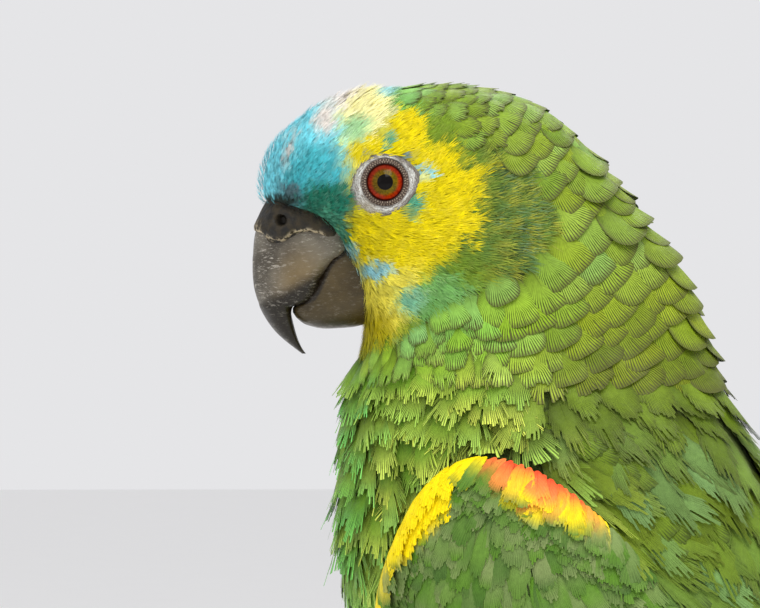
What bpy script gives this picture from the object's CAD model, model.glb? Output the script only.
"""A turquoise-fronted amazon parrot as a life-size museum model: its looks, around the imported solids.

Sizes are in millimetres unless a name says otherwise, and MM turns them into
metres. The bird's body faces -X and its left side is -Y.
"""

import math

import bmesh
import bpy
import numpy as np
from mathutils import Matrix, Vector
from mathutils.bvhtree import BVHTree


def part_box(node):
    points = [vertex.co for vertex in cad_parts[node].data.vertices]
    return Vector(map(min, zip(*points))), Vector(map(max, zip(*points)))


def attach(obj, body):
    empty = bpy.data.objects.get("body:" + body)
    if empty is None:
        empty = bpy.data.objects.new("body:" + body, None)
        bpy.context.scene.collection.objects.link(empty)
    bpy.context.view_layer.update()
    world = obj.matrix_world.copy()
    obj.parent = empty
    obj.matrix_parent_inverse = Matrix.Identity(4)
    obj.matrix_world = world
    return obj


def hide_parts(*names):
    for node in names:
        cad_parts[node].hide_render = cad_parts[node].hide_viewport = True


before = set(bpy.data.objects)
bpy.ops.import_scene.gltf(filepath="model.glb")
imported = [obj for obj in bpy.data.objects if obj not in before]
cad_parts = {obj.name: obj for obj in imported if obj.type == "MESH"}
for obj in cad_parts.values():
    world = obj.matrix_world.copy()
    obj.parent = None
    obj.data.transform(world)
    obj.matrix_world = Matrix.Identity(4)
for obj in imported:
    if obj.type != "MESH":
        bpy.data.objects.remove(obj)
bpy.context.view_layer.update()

# ---------------------------------------------------------------------------
# Where the bird stands. The eyes give the middle plane of the head, how far the
# head is turned, and the upright axis of the neck that it turns about. Every
# place on the bird is then given as behind that axis, to the right, and up.
MM = 0.001
UP = Vector((0, 0, 1))
EYES_AHEAD = 34.1  # of the neck's axis


def middle(node):
    low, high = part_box(node)
    return (Vector(low) + Vector(high)) / 2


left_eye, right_eye = middle("eye_left"), middle("eye_right")
RIGHTWARD = (right_eye - left_eye).normalized()
AHEAD = UP.cross(RIGHTWARD)
HEAD_TURN = math.atan2(-RIGHTWARD.x, RIGHTWARD.y)
neck_axis = (left_eye + right_eye) / 2 + (-AHEAD) * EYES_AHEAD * MM
TURN_HEIGHTS = (141, 157, 166, 175, 184, 193)
TURN_SHARES = (0.0, 0.2, 0.45, 0.7, 0.88, 1.0)


def place(behind, right, up, turn=1.0):
    """A place on the bird, in metres; `turn` is its share of the head's turn."""
    c, s = math.cos(HEAD_TURN * turn), math.sin(HEAD_TURN * turn)
    return Vector((neck_axis.x + (behind * c - right * s) * MM, neck_axis.y + (behind * s + right * c) * MM, up * MM))


def own_place(point):
    """The same place in the bird's own millimetres, as if its head weren't turned."""
    up = point[2] / MM
    turn = HEAD_TURN * float(np.interp(up, TURN_HEIGHTS, TURN_SHARES))
    x, y = (point[0] - neck_axis.x) / MM, (point[1] - neck_axis.y) / MM
    c, s = math.cos(turn), math.sin(turn)
    return x * c + y * s, -x * s + y * c, up


# ---------------------------------------------------------------------------
# Camera, floor and lights. The camera looks square at the left side of the
# turned head from far off; the floor is pale, and wide soft lamps stand round.
VIEW_WIDTH = 182.4
VIEW_DISTANCE = 1.8  # metres
camera_data = bpy.data.cameras.new("camera")
camera = bpy.data.objects.new("camera", camera_data)
bpy.context.scene.collection.objects.link(camera)
view_centre = Vector((neck_axis.x, neck_axis.y, 0)) + AHEAD * 36.0 * MM + UP * 192.2 * MM
camera.location = view_centre - RIGHTWARD * VIEW_DISTANCE
camera.rotation_euler = RIGHTWARD.to_track_quat("-Z", "Y").to_euler()
camera_data.sensor_width = 36
camera_data.lens = 36 * VIEW_DISTANCE / (VIEW_WIDTH * MM)
bpy.context.scene.camera = camera
bpy.context.scene.view_settings.view_transform = "Standard"


def add_mesh(name, points, faces, material=None, smooth=True):
    mesh = bpy.data.meshes.new(name)
    mesh.from_pydata(points, [], faces)
    if smooth:
        mesh.shade_smooth()
    piece = bpy.data.objects.new(name, mesh)
    bpy.context.scene.collection.objects.link(piece)
    if material:
        mesh.materials.append(material)
    return piece


def new_material(name, colour, roughness, **constants):
    """A material with a Principled shader; `constants` are set on its own sockets."""
    material = bpy.data.materials.new(name)
    material.use_nodes = True
    shader = material.node_tree.nodes["Principled BSDF"]
    shader.inputs["Base Color"].default_value = (*colour, 1)
    shader.inputs["Roughness"].default_value = roughness
    for socket, value in constants.items():
        shader.inputs[socket.replace("_", " ")].default_value = value
    return material, material.node_tree, shader


class Wire:
    """A value in a node tree. Sums on it add the nodes that work them out."""

    def __init__(self, made, output=0):
        self.tree, self.socket = made.id_data, made.outputs[output]

    def maths(self, operation, *others):
        values = dict(enumerate((self, *others)))
        return Wire(node(self.tree, "ShaderNodeMath", values, operation=operation))

    def __add__(self, other):
        return self.maths("ADD", other)

    def __sub__(self, other):
        return self.maths("SUBTRACT", other)

    def __mul__(self, other):
        return self.maths("MULTIPLY", other)

    def clamped(self):
        self.socket.node.use_clamp = True
        return self

    def fade(self, start, end, low=0.0, high=1.0):
        """Smoothly `low` below start and `high` above end."""
        steps = {"Value": self, "From Min": start, "From Max": end, "To Min": low, "To Max": high}
        return Wire(node(self.tree, "ShaderNodeMapRange", steps, interpolation_type="SMOOTHSTEP"))

    def parts(self, kind="XYZ"):
        made = node(self.tree, f"ShaderNodeSeparate{kind}", {0: self})
        return [Wire(made, i) for i in range(3)]


def node(tree, kind, links=(), **settings):
    """Adds a node. `links` pairs an input's name or number with its value or the wire that feeds it."""
    made = tree.nodes.new(kind)
    for key, value in settings.items():
        setattr(made, key, value)
    for socket, value in dict(links).items():
        if isinstance(value, Wire):
            tree.links.new(value.socket, made.inputs[socket])
        else:
            made.inputs[socket].default_value = value
    return made


def mix(factor, a, b, blend="MIX"):
    """A colour that goes from a to b as the factor goes from 0 to 1."""
    tree = next(value.tree for value in (factor, a, b) if isinstance(value, Wire))
    a, b = (value if isinstance(value, Wire) else (*value, 1) for value in (a, b))
    return Wire(node(tree, "ShaderNodeMix", {0: factor, 6: a, 7: b}, data_type="RGBA", blend_type=blend), 2)


def object_spot(tree):
    return Wire(node(tree, "ShaderNodeTexCoord"), "Object")


def attribute(tree, name, output="Fac"):
    return Wire(node(tree, "ShaderNodeAttribute", attribute_name=name), output)


def noise(spot, scale, detail=2.0, roughness=0.5):
    values = {"Vector": spot, "Scale": scale, "Detail": detail, "Roughness": roughness}
    return Wire(node(spot.tree, "ShaderNodeTexNoise", values), "Fac")


def cells(spot, scale, **settings):
    return Wire(node(spot.tree, "ShaderNodeTexVoronoi", {"Vector": spot, "Scale": scale}, **settings), "Distance")


def feed(shader, colour, roughness, height=None, strength=0.5, depth=0.06):
    """Wires a shader's colour and roughness, and its relief where it has one; depth in mm."""
    tree = shader.id_data
    tree.links.new(colour.socket, shader.inputs["Base Color"])
    tree.links.new(roughness.socket, shader.inputs["Roughness"])
    if height:
        bump = node(tree, "ShaderNodeBump", {"Height": height, "Strength": strength, "Distance": depth * MM})
        tree.links.new(bump.outputs[0], shader.inputs["Normal"])


FLOOR_RADIUS, FLOOR_CORNERS = 6.0, 96  # metres, and how round the floor is
floor_paint, tree, shader = new_material("floor_paint", (0.80, 0.79, 0.77), 0.8)
grain = noise(object_spot(tree), 30.0)
tree.links.new(mix(grain, (0.88, 0.877, 0.873), (0.9, 0.897, 0.893)).socket, shader.inputs["Base Color"])
corners = [2 * math.pi * k / FLOOR_CORNERS for k in range(FLOOR_CORNERS)]
rim = [(FLOOR_RADIUS * math.cos(a), FLOOR_RADIUS * math.sin(a), 0) for a in corners]
floor = add_mesh("floor", rim, [tuple(range(FLOOR_CORNERS))], floor_paint, smooth=False)

world = bpy.data.worlds.new("studio")
bpy.context.scene.world = world
world.use_nodes = True
sky = world.node_tree.nodes["Background"]
sky.inputs["Color"].default_value = (0.98, 0.98, 1.0, 1)
sky.inputs["Strength"].default_value = 0.8

# Each lamp: name, degrees round from the camera (positive to the bird's tail), height
# angle, distance and size in metres, watts, colour.
LAMPS = [
    ("key", 25, 58, 1.3, 0.8, 14, (1.0, 0.97, 0.92)),
    ("fill", -50, 20, 1.4, 0.9, 1.5, (0.95, 0.97, 1.0)),
    ("back", 165, 50, 1.5, 0.8, 10, (1.0, 0.98, 0.95)),
]
for name, round_by, height, distance, size, power, colour in LAMPS:
    lamp_data = bpy.data.lights.new(name, "AREA")
    lamp_data.energy, lamp_data.size, lamp_data.color = power, size, colour
    lamp = bpy.data.objects.new(name, lamp_data)
    bpy.context.scene.collection.objects.link(lamp)
    heading = Matrix.Rotation(math.radians(round_by), 3, "Z") @ (-RIGHTWARD)
    out = heading * math.cos(math.radians(height)) + UP * math.sin(math.radians(height))
    aim = Vector((neck_axis.x, neck_axis.y, 0.16))
    lamp.location = aim + out * distance
    lamp.rotation_euler = (-out).to_track_quat("-Z", "Y").to_euler()

# ---------------------------------------------------------------------------
# Skin. One closed skin stands for the head, neck, trunk, thighs, wings and tail,
# under the feathers by their depth. It is what every feather is rooted in and
# laid along, and it carries the same markings as they do.
FLESH = ("head", "neck", "trunk", "tail", "thigh_left", "thigh_right", "wing_left", "wing_right")
SKIN_GRAIN = 1.3
FACE_DEPTH, CROWN_DEPTH, BODY_DEPTH, WING_DEPTH, TAIL_DEPTH = 0.9, 1.7, 3.0, 1.3, 0.8
MUZZLE = (-60.0, 0.0, 210.0)  # the middle of the bill's base


def merged_copy(name, nodes):
    shape = bmesh.new()
    for each in nodes:
        shape.from_mesh(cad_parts[each].data)
    bmesh.ops.remove_doubles(shape, verts=shape.verts, dist=2e-5)
    mesh = bpy.data.meshes.new(name)
    shape.to_mesh(mesh)
    shape.free()
    piece = bpy.data.objects.new(name, mesh)
    bpy.context.scene.collection.objects.link(piece)
    return piece


def applied(piece):
    """Replaces a piece's mesh by its modifiers' result."""
    shaped = bpy.data.meshes.new_from_object(piece.evaluated_get(bpy.context.evaluated_depsgraph_get()))
    piece.modifiers.clear()
    piece.data = shaped
    return piece


def remeshed(piece, grain, smoothing):
    step = piece.modifiers.new("Remesh", "REMESH")
    step.mode, step.voxel_size = "VOXEL", grain * MM
    soften = piece.modifiers.new("Smooth", "SMOOTH")
    soften.factor, soften.iterations = 0.5, smoothing
    return applied(piece)


def solid_tree(nodes):
    shape = bmesh.new()
    for each in nodes:
        shape.from_mesh(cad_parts[each].data)
    tree = BVHTree.FromBMesh(shape)
    shape.free()
    return tree


wing_solids = solid_tree(("wing_left", "wing_right"))
body_solids = solid_tree(("head", "neck", "trunk", "thigh_left", "thigh_right"))
tail_solids = solid_tree(("tail",))


def on_part(point):
    """Which of body, wing or tail a point belongs to: the nearest solid."""
    nearest = {"body": body_solids, "wing": wing_solids, "tail": tail_solids}
    return min(nearest, key=lambda part: nearest[part].find_nearest(point)[3])


def smooth_step(start, end, value):
    t = min(max((value - start) / (end - start), 0.0), 1.0)
    return t * t * (3 - 2 * t)


def coat_depth(point):
    part = on_part(point)
    if part == "wing":
        return WING_DEPTH
    x, y, z = own_place(point)
    if part == "tail":
        return TAIL_DEPTH + (BODY_DEPTH - TAIL_DEPTH) * smooth_step(120, 78, x)
    from_bill = math.dist((x, y, z), MUZZLE)
    depth = FACE_DEPTH + (CROWN_DEPTH - FACE_DEPTH) * smooth_step(15, 50, from_bill)
    depth += (BODY_DEPTH - CROWN_DEPTH) * smooth_step(55, 105, from_bill)
    return depth * (0.5 + 0.5 * smooth_step(26, 48, z))


skin = remeshed(merged_copy("skin", FLESH + ("eye_left", "eye_right")), SKIN_GRAIN, 8)
for vertex, inward in [(v, v.normal.copy()) for v in skin.data.vertices]:
    vertex.co -= inward * coat_depth(vertex.co) * MM
soften = skin.modifiers.new("Smooth", "SMOOTH")
soften.factor, soften.iterations = 0.5, 4
applied(skin)
skin.data.shade_smooth()
skin_shape = bmesh.new()
skin_shape.from_mesh(skin.data)
skin_tree = BVHTree.FromBMesh(skin_shape)
skin_shape.free()
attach(skin, "root")
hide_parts(*FLESH)

# ---------------------------------------------------------------------------
# Markings. Turquoise forehead, cream behind it, a yellow face with small teal
# spots, and greens elsewhere. Each patch is a soft oval on the side of the head,
# and the skin and all feathers take their colour from the same patches.
def srgb(red, green, blue):
    return np.array([((c / 255 + 0.055) / 1.055) ** 2.4 if c > 10 else c / 3294 for c in (red, green, blue)])


CROWN_GREEN, NAPE_GREEN, EAR_GREEN = srgb(116, 148, 36), srgb(128, 152, 32), srgb(100, 130, 46)
BRIGHT_YELLOW, PALE_YELLOW, THROAT_YELLOW = srgb(238, 220, 0), srgb(250, 238, 90), srgb(198, 182, 14)
CREAM, MINT, TEAL, DEEP_TEAL = srgb(255, 250, 184), srgb(178, 226, 168), srgb(84, 172, 140), srgb(30, 128, 104)
TURQUOISE, SKY, PALE_SKY = srgb(82, 204, 218), srgb(136, 236, 252), srgb(160, 222, 232)
IVORY, MINT_CROWN, BLUE_GREEN, SLATE = srgb(246, 240, 236), srgb(126, 192, 92), srgb(126, 196, 160), srgb(96, 132, 140)
EAR_OLIVE, EAR_TEAL = srgb(186, 186, 62), srgb(92, 136, 84)
LORE_DARK, COLLAR_GREEN = srgb(34, 52, 44), srgb(116, 176, 92)
BREAST_GREEN, BREAST_TIP, BREAST_LIME = srgb(120, 178, 42), srgb(134, 232, 108), srgb(222, 242, 96)
MANTLE_OLIVE, SCAPULAR_GREEN, BELLY_GREEN = srgb(108, 134, 32), srgb(114, 150, 62), srgb(132, 168, 44)
VENT_LIME = srgb(150, 176, 52)
WING_GREEN, WING_SHADE, WING_GREY = srgb(88, 134, 30), srgb(66, 100, 40), srgb(126, 142, 88)
BEND_YELLOW, BEND_RED, BEND_ORANGE = srgb(252, 226, 8), srgb(240, 80, 44), srgb(255, 144, 72)

# Each patch: behind the neck's axis, up, half length, half height, tilt in
# degrees, softness of its edge, colour.
HEAD_PATCHES = [
    (-8.5, 214.0, 12.5, 15.0, 10, 0.40, EAR_GREEN),
    (-30.0, 243.0, 5.6, 6.0, 10, 0.25, MINT_CROWN),
    (-20.5, 192.0, 13.0, 7.0, -25, 0.35, COLLAR_GREEN),
    (-24.0, 181.5, 8.5, 2.6, -10, 0.50, BLUE_GREEN),
    (-26.4, 212.6, 14.6, 10.8, 38, 0.20, BRIGHT_YELLOW),
    (-31.5, 204.5, 8.0, 7.5, 0, 0.25, BRIGHT_YELLOW),
    (-19.0, 220.5, 6.6, 4.4, 25, 0.40, BRIGHT_YELLOW),
    (-23.5, 226.0, 6.0, 4.0, 10, 0.30, BRIGHT_YELLOW),
    (-35.5, 198.5, 8.2, 12.5, 8, 0.22, PALE_YELLOW),
    (-38.5, 184.0, 7.0, 7.5, 0, 0.45, THROAT_YELLOW),
    (-33.0, 209.0, 9.0, 9.0, 0, 0.20, BRIGHT_YELLOW),
    (-42.6, 220.0, 4.5, 9.5, 5, 0.20, BRIGHT_YELLOW),
    (-43.2, 230.0, 7.0, 6.5, 20, 0.30, PALE_YELLOW),
    (-30.8, 232.2, 5.4, 6.6, -8, 0.14, BRIGHT_YELLOW),
    (-37.0, 228.0, 7.0, 3.4, 10, 0.25, BRIGHT_YELLOW),
    (-43.0, 239.5, 8.6, 8.5, 15, 0.16, CREAM),
    (-36.0, 243.4, 2.6, 1.7, 10, 0.40, PALE_SKY),
    (-43.0, 233.6, 3.4, 3.0, 10, 0.45, MINT),
    (-50.5, 240.0, 8.0, 3.6, 32, 0.45, IVORY),
    (-57.0, 227.5, 11.0, 13.5, -28, 0.20, SKY),
    (-50.0, 236.0, 2.6, 3.6, 10, 0.50, IVORY),
    (-58.0, 229.5, 1.0, 4.6, -12, 0.70, IVORY),
    (-51.5, 222.5, 7.5, 7.5, -20, 0.40, TURQUOISE),
    (-48.6, 216.2, 6.5, 4.6, -20, 0.35, DEEP_TEAL),
    (-46.0, 208.5, 3.0, 7.6, 25, 0.30, TEAL),
    (-57.6, 219.6, 3.0, 1.4, -30, 0.50, SLATE),
    (-60.0, 217.0, 6.0, 1.6, 0, 0.45, LORE_DARK),
    (-42.8, 204.2, 2.4, 2.2, 0, 0.40, PALE_SKY),
    (-36.4, 200.4, 3.8, 2.0, 0, 0.45, PALE_SKY),
    (-35.0, 230.6, 1.5, 1.6, 0, 0.40, TEAL),
    (-40.0, 227.2, 1.0, 1.0, 0, 0.50, SLATE),
    (-28.6, 226.6, 2.0, 1.0, -25, 0.50, SLATE),
    (-26.0, 223.2, 2.6, 1.2, -25, 0.40, PALE_SKY),
    (-28.6, 215.6, 1.7, 3.4, -15, 0.40, TEAL),
    (-28.8, 193.6, 3.4, 2.6, 30, 0.60, BLUE_GREEN),
]


def toward(start, end, share):
    """A colour or a number that is a share of the way from start to end."""
    return start + (end - start) * share


def head_colour(x, z):
    colour = CROWN_GREEN.copy()
    for behind, up, long, high, tilt, soft, paint in HEAD_PATCHES:
        c, s = math.cos(math.radians(tilt)), math.sin(math.radians(tilt))
        dx, dz = x - behind, z - up
        reach = math.hypot((dx * c + dz * s) / long, (-dx * s + dz * c) / high)
        if reach < 1 + soft:
            colour += (paint - colour) * smooth_step(1 + soft, 1 - soft, reach)
    return colour


def body_colour(x, z):
    """Green plumage of the neck, breast, back and belly."""
    front = smooth_step(12, -22, x + (z - 160) * -0.25)
    back = NAPE_GREEN + (MANTLE_OLIVE - NAPE_GREEN) * smooth_step(190, 162, z)
    back = back + (SCAPULAR_GREEN - back) * smooth_step(148, 120, z)
    breast = BREAST_GREEN + (BELLY_GREEN - BREAST_GREEN) * smooth_step(120, 80, z)
    colour = back + (breast - back) * front
    under = smooth_step(2, -4, z - (53 - 0.48 * (x - 131)))
    return colour + (VENT_LIME - colour) * smooth_step(60, 48, z) * smooth_step(20, 60, x) * under


def marking(x, z):
    """The plumage's colour at a place on the side of the bird."""
    if z > 205:
        return head_colour(x, z)
    if z < 170:
        return body_colour(x, z)
    share = smooth_step(178, 194, z - 0.4 * (x + 20))
    return body_colour(x, z) * (1 - share) + head_colour(x, z) * share


tints = skin.data.color_attributes.new("Tint", "FLOAT_COLOR", "POINT")
shades = np.ones((len(skin.data.vertices), 4))
for vertex in skin.data.vertices:
    x, y, z = own_place(vertex.co)
    brightness = 0.42 + 0.43 * smooth_step(60, 44, math.dist((x, y, z), MUZZLE))
    shades[vertex.index, :3] = marking(x, z) * brightness
tints.data.foreach_set("color", shades.ravel())
down_paint, tree, shader = new_material("down", (0.2, 0.3, 0.1), 0.85)
tint = attribute(tree, "Tint", "Color")
fluff = noise(object_spot(tree), 900.0, 3.0).fade(0.35, 0.65)
down = mix(fluff, mix(1.0, tint, (0.5, 0.5, 0.5), "MULTIPLY"), tint)
tree.links.new(down.socket, shader.inputs["Base Color"])
skin.data.materials.clear()
skin.data.materials.append(down_paint)

# ---------------------------------------------------------------------------
# Feathers. Each has a shaft, and barbs that sweep out to its edge, where they
# part into teeth. It is laid along the skin from its root, rising over the
# feathers behind it as roof tiles do, and drooping at its sides.
BAKE_PATCH = 0.003
PATTERNS_KEPT, SPRAYS_KEPT = 12, 10  # how many outlines of each sort take turns
SLENDER = 2.4  # a feather's length in half widths, where its barbs are measured
draw = np.random.default_rng(7)


class Plumage:
    """Feathers of one piece, gathered before they are made one mesh."""

    def __init__(self):
        self.points, self.faces, self.count = [], [], 0
        self.vane, self.rim, self.tint, self.patch = [], [], [], []

    def add(self, points, faces, vane, rim, tint, patch):
        self.points.append(points)
        self.rim.append(rim)
        self.faces.extend((faces + self.count).tolist())
        self.vane.append(vane)
        self.tint.append(tint)
        self.patch.append(patch)
        self.count += len(points)

    def piece(self, name, material, slot):
        mesh = bpy.data.meshes.new(name)
        faces = [f if f[3] != f[2] else f[:3] for f in self.faces]
        mesh.from_pydata(np.concatenate(self.points).tolist(), [], faces)
        mesh.shade_smooth()
        corners = np.empty(len(mesh.loops), dtype=np.int32)
        mesh.loops.foreach_get("vertex_index", corners)
        for layer, values in (("Vane", self.vane), ("OFBake", self.patch)):
            at_corners = np.concatenate(values)[corners].astype(np.float32)
            mesh.uv_layers.new(name=layer).data.foreach_set("uv", at_corners.ravel())
        tints = mesh.color_attributes.new("Tint", "FLOAT_COLOR", "POINT")
        tints.data.foreach_set("color", np.concatenate(self.tint).astype(np.float32).ravel())
        rims = mesh.attributes.new("Rim", "FLOAT", "POINT")
        rims.data.foreach_set("value", np.concatenate(self.rim).astype(np.float32))
        mesh.materials.append(material)
        made = bpy.data.objects.new(name, mesh)
        bpy.context.scene.collection.objects.link(made)
        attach(made, "root")


vane_patterns = {}


def shaft(at):
    """How far along a feather the barb leaves its shaft that ends at a share of the rim."""
    return 0.02 + 0.46 * at**1.15


def spread(at, part, pointed):
    """A spot on the vane: on the barb that ends at a share of the rim, a part of the way out."""
    end_x = 1 - (1 - at) ** (2.0 - 0.4 * pointed)
    end_y = np.sin(np.pi * np.clip(at, 0, 1) ** (0.85 - 0.2 * pointed)) ** (0.62 + 0.5 * pointed)
    return shaft(at) + (end_x - shaft(at)) * part**1.25, end_y * part**0.75


def teeth(strips, ragged):
    """How far each strip of barbs reaches, as a share of the vane: in slanted runs, with gaps."""
    tooth = draw.integers(2, 5)
    k = np.arange(strips)
    phase = ((k + draw.integers(tooth)) % tooth + 0.5) / tooth
    uneven = 0.7 * phase - 0.42 + draw.uniform(-0.4, 0.35, strips)[k // tooth] + draw.uniform(-0.14, 0.14, strips)
    gaps = 0.8 * (draw.uniform(size=strips) < 0.1)
    return 1 + ragged * (uneven - gaps)


def vane_pattern(strips, ragged, pointed=0.0):
    """A feather's outline, in its own lengths and half widths. A ragged one ends in a tooth for each strip of barbs."""
    kept = vane_patterns.setdefault((strips, ragged, pointed), [])
    if len(kept) >= (PATTERNS_KEPT if ragged else 1):
        return kept[draw.integers(len(kept))]
    t, k = np.linspace(0, 1, strips + 1), np.arange(strips)
    fine = np.linspace(0, 1, 201)
    rim_x, rim_y = spread(fine, 1.0, pointed)
    rim_run = np.concatenate([[0], np.cumsum(np.hypot(np.diff(rim_x) * SLENDER, np.diff(rim_y)))])
    inner_part = 0.75 - 0.3 * ragged if ragged else 0.6
    x, y, u, v = [shaft(t)], [np.zeros(strips + 1)], [t], [np.zeros(strips + 1)]
    faces, start = [], strips + 1
    for side in (-1, 1):
        turned = slice(None, None, side)
        row_x, row_y = spread(t, inner_part, pointed)
        x.append(row_x), y.append(side * row_y), u.append(t), v.append(np.full(strips + 1, inner_part))
        faces.append(np.stack([k, k + 1, start + k + 1, start + k], 1)[:, turned])
        ends = start + strips + 1
        if ragged:
            reach = teeth(strips, ragged)
            for edge in (0.07, 0.93):
                tip_x, tip_y = spread(np.clip((k + edge + 0.12) / strips, 0.0, 1.0), 1.0, pointed)
                base_x, base_y = spread((k + edge) / strips, inner_part, pointed)
                x.append(base_x + (tip_x - base_x) * reach), y.append(side * (base_y + (tip_y - base_y) * reach))
                u.append((k + edge) / strips), v.append(np.ones(strips))
            faces.append(np.stack([start + k, start + k + 1, ends + strips + k, ends + k], 1)[:, turned])
            start = ends + 2 * strips
        else:
            row_x, row_y = spread(t, 1.0, pointed)
            x.append(row_x), y.append(side * row_y), u.append(t), v.append(np.ones(strips + 1))
            faces.append(np.stack([start + k, start + k + 1, ends + k + 1, ends + k], 1)[:, turned])
            start = ends + strips + 1
    u, v = np.concatenate(u), np.concatenate(v)
    end_x, end_y = spread(u, 1.0, pointed)
    rim = 1 - (1 - v) * np.hypot((end_x - shaft(u)) * SLENDER, end_y)
    u = np.interp(u, fine, rim_run / rim_run[-1])
    kept.append((np.concatenate(x), np.concatenate(y), np.zeros(len(u)), u, v, rim, np.concatenate(faces)))
    return kept[-1]


def spray_pattern(strands, thickness):
    """A tuft of separate thin strands that fan out from one root; thickness is in the tuft's half widths."""
    kept = vane_patterns.setdefault((strands, thickness), [])
    if len(kept) >= SPRAYS_KEPT:
        return kept[draw.integers(len(kept))]
    x, y, rise, u, faces = [], [], [], [], []
    for k in range(strands):
        aim = -1 + 2 * (k + draw.uniform(0.2, 0.8)) / strands
        reach, bend = draw.uniform(0.68, 1.0), draw.normal(0, 0.12)
        lifted, start = draw.uniform(0.0, 0.55), draw.uniform(-0.3, 0.3)
        for t, half in ((0.0, 0.6), (0.5, 1.0), (1.0, 0.0)):
            middle_y = start * (1 - t) + aim * t * (0.75 + 0.25 * t) + bend * t * t
            for edge in ((-1, 1) if half else (0,)):
                x.append(reach * t), y.append(middle_y + edge * half * thickness)
                rise.append(lifted * t), u.append(t)
        first = 5 * k
        faces += [(first, first + 2, first + 3, first + 1), (first + 2, first + 4, first + 3, first + 3)]
    flat = np.full(len(x), 0.3)
    kept.append((np.array(x), np.array(y), np.array(rise), np.array(u), flat, flat, np.array(faces)))
    return kept[-1]


def lay(root, flow, length, steps, stiffness=0.0, plane=None):
    """Follows the skin from a root, or a plane with a given normal.

    Returns the line's points, headings and outward normals, in metres.
    """
    points, headings, normals = [], [], []
    spot, heading = root, flow.normalized()
    for _ in range(steps + 1):
        hit, outward = skin_tree.find_nearest(spot)[:2]
        if points and stiffness:
            hit = hit.lerp(spot, stiffness)
        if normals:
            outward = (outward + normals[-1]).normalized()
        if plane:
            hit, outward = spot, plane
        heading = (heading - outward * heading.dot(outward)).normalized()
        points.append(hit), headings.append(heading), normals.append(outward)
        spot = hit + heading * (length / steps)
    return points, headings, normals


def add_feather(plumage, root, flow, length, half_width, pattern, colours, patch, base=0.3, lift=0.8, droop=0.25,
                tilt=0.0, curl=0.0, fringe=0.5, stiffness=0.0, plane=None, steps=6, across=5):
    """Lays one feather. Lengths, base, lift and curl in mm; `colours` are those of its base, middle and tip."""
    points, headings, normals = lay(root, flow, length * MM, steps, stiffness, plane)
    x, y, rise, u, v, rim, faces = pattern
    sides = [n.cross(h) for n, h in zip(normals, headings)]
    deepest = 3 * MM
    clearance = np.zeros((steps + 1, across))
    for i, (point, side, outward) in enumerate(zip(points, sides, normals)):
        for j, off in enumerate(np.linspace(-1, 1, across)):
            spot = point + side * (off * half_width * MM)
            height = (spot - skin_tree.find_nearest(spot)[0]).dot(outward)
            clearance[i, j] = min(max(height, -deepest), deepest)
    along = np.clip(x, 0, 0.9999) * steps
    i, f = along.astype(int), along % 1.0
    beyond = np.clip(x - 1, 0, None)[:, None] * length * MM
    sideways = np.clip((y + 1) / 2, 0, 0.9999) * (across - 1)
    j, g = sideways.astype(int), sideways % 1.0

    def blended(rows):
        rows = np.array([list(r) for r in rows])
        return rows[i] * (1 - f)[:, None] + rows[i + 1] * f[:, None]

    near_side = clearance[i, j] * (1 - f) + clearance[i + 1, j] * f
    far_side = clearance[i, j + 1] * (1 - f) + clearance[i + 1, j + 1] * f
    under = near_side * (1 - g) + far_side * g
    shape = base + rise + lift * x + curl * x**3 - droop * y**2 * half_width * 0.35 + tilt * y * half_width
    height = shape * MM - under * (1 - stiffness)
    spots = blended(points) + blended(headings) * beyond
    spots = spots + blended(sides) * (y * half_width * MM)[:, None] + blended(normals) * height[:, None]
    base_colour, middle_colour, tip_colour = colours
    to_tip = np.clip((x - 0.55) / 0.45, 0, 1)[:, None] ** 1.5
    to_base = np.clip((0.58 - x) / 0.5, 0, 1)[:, None]
    shade = middle_colour + (tip_colour - middle_colour) * to_tip + (base_colour - middle_colour) * to_base
    tint = np.concatenate([shade, np.full((len(x), 1), fringe)], 1)
    patch = np.stack([patch[0] + (x - 0.5) * BAKE_PATCH, patch[1] + y * 0.5 * BAKE_PATCH], 1)
    plumage.add(spots, faces, np.stack([u * length / 10, v], 1), rim, tint, patch)


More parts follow.
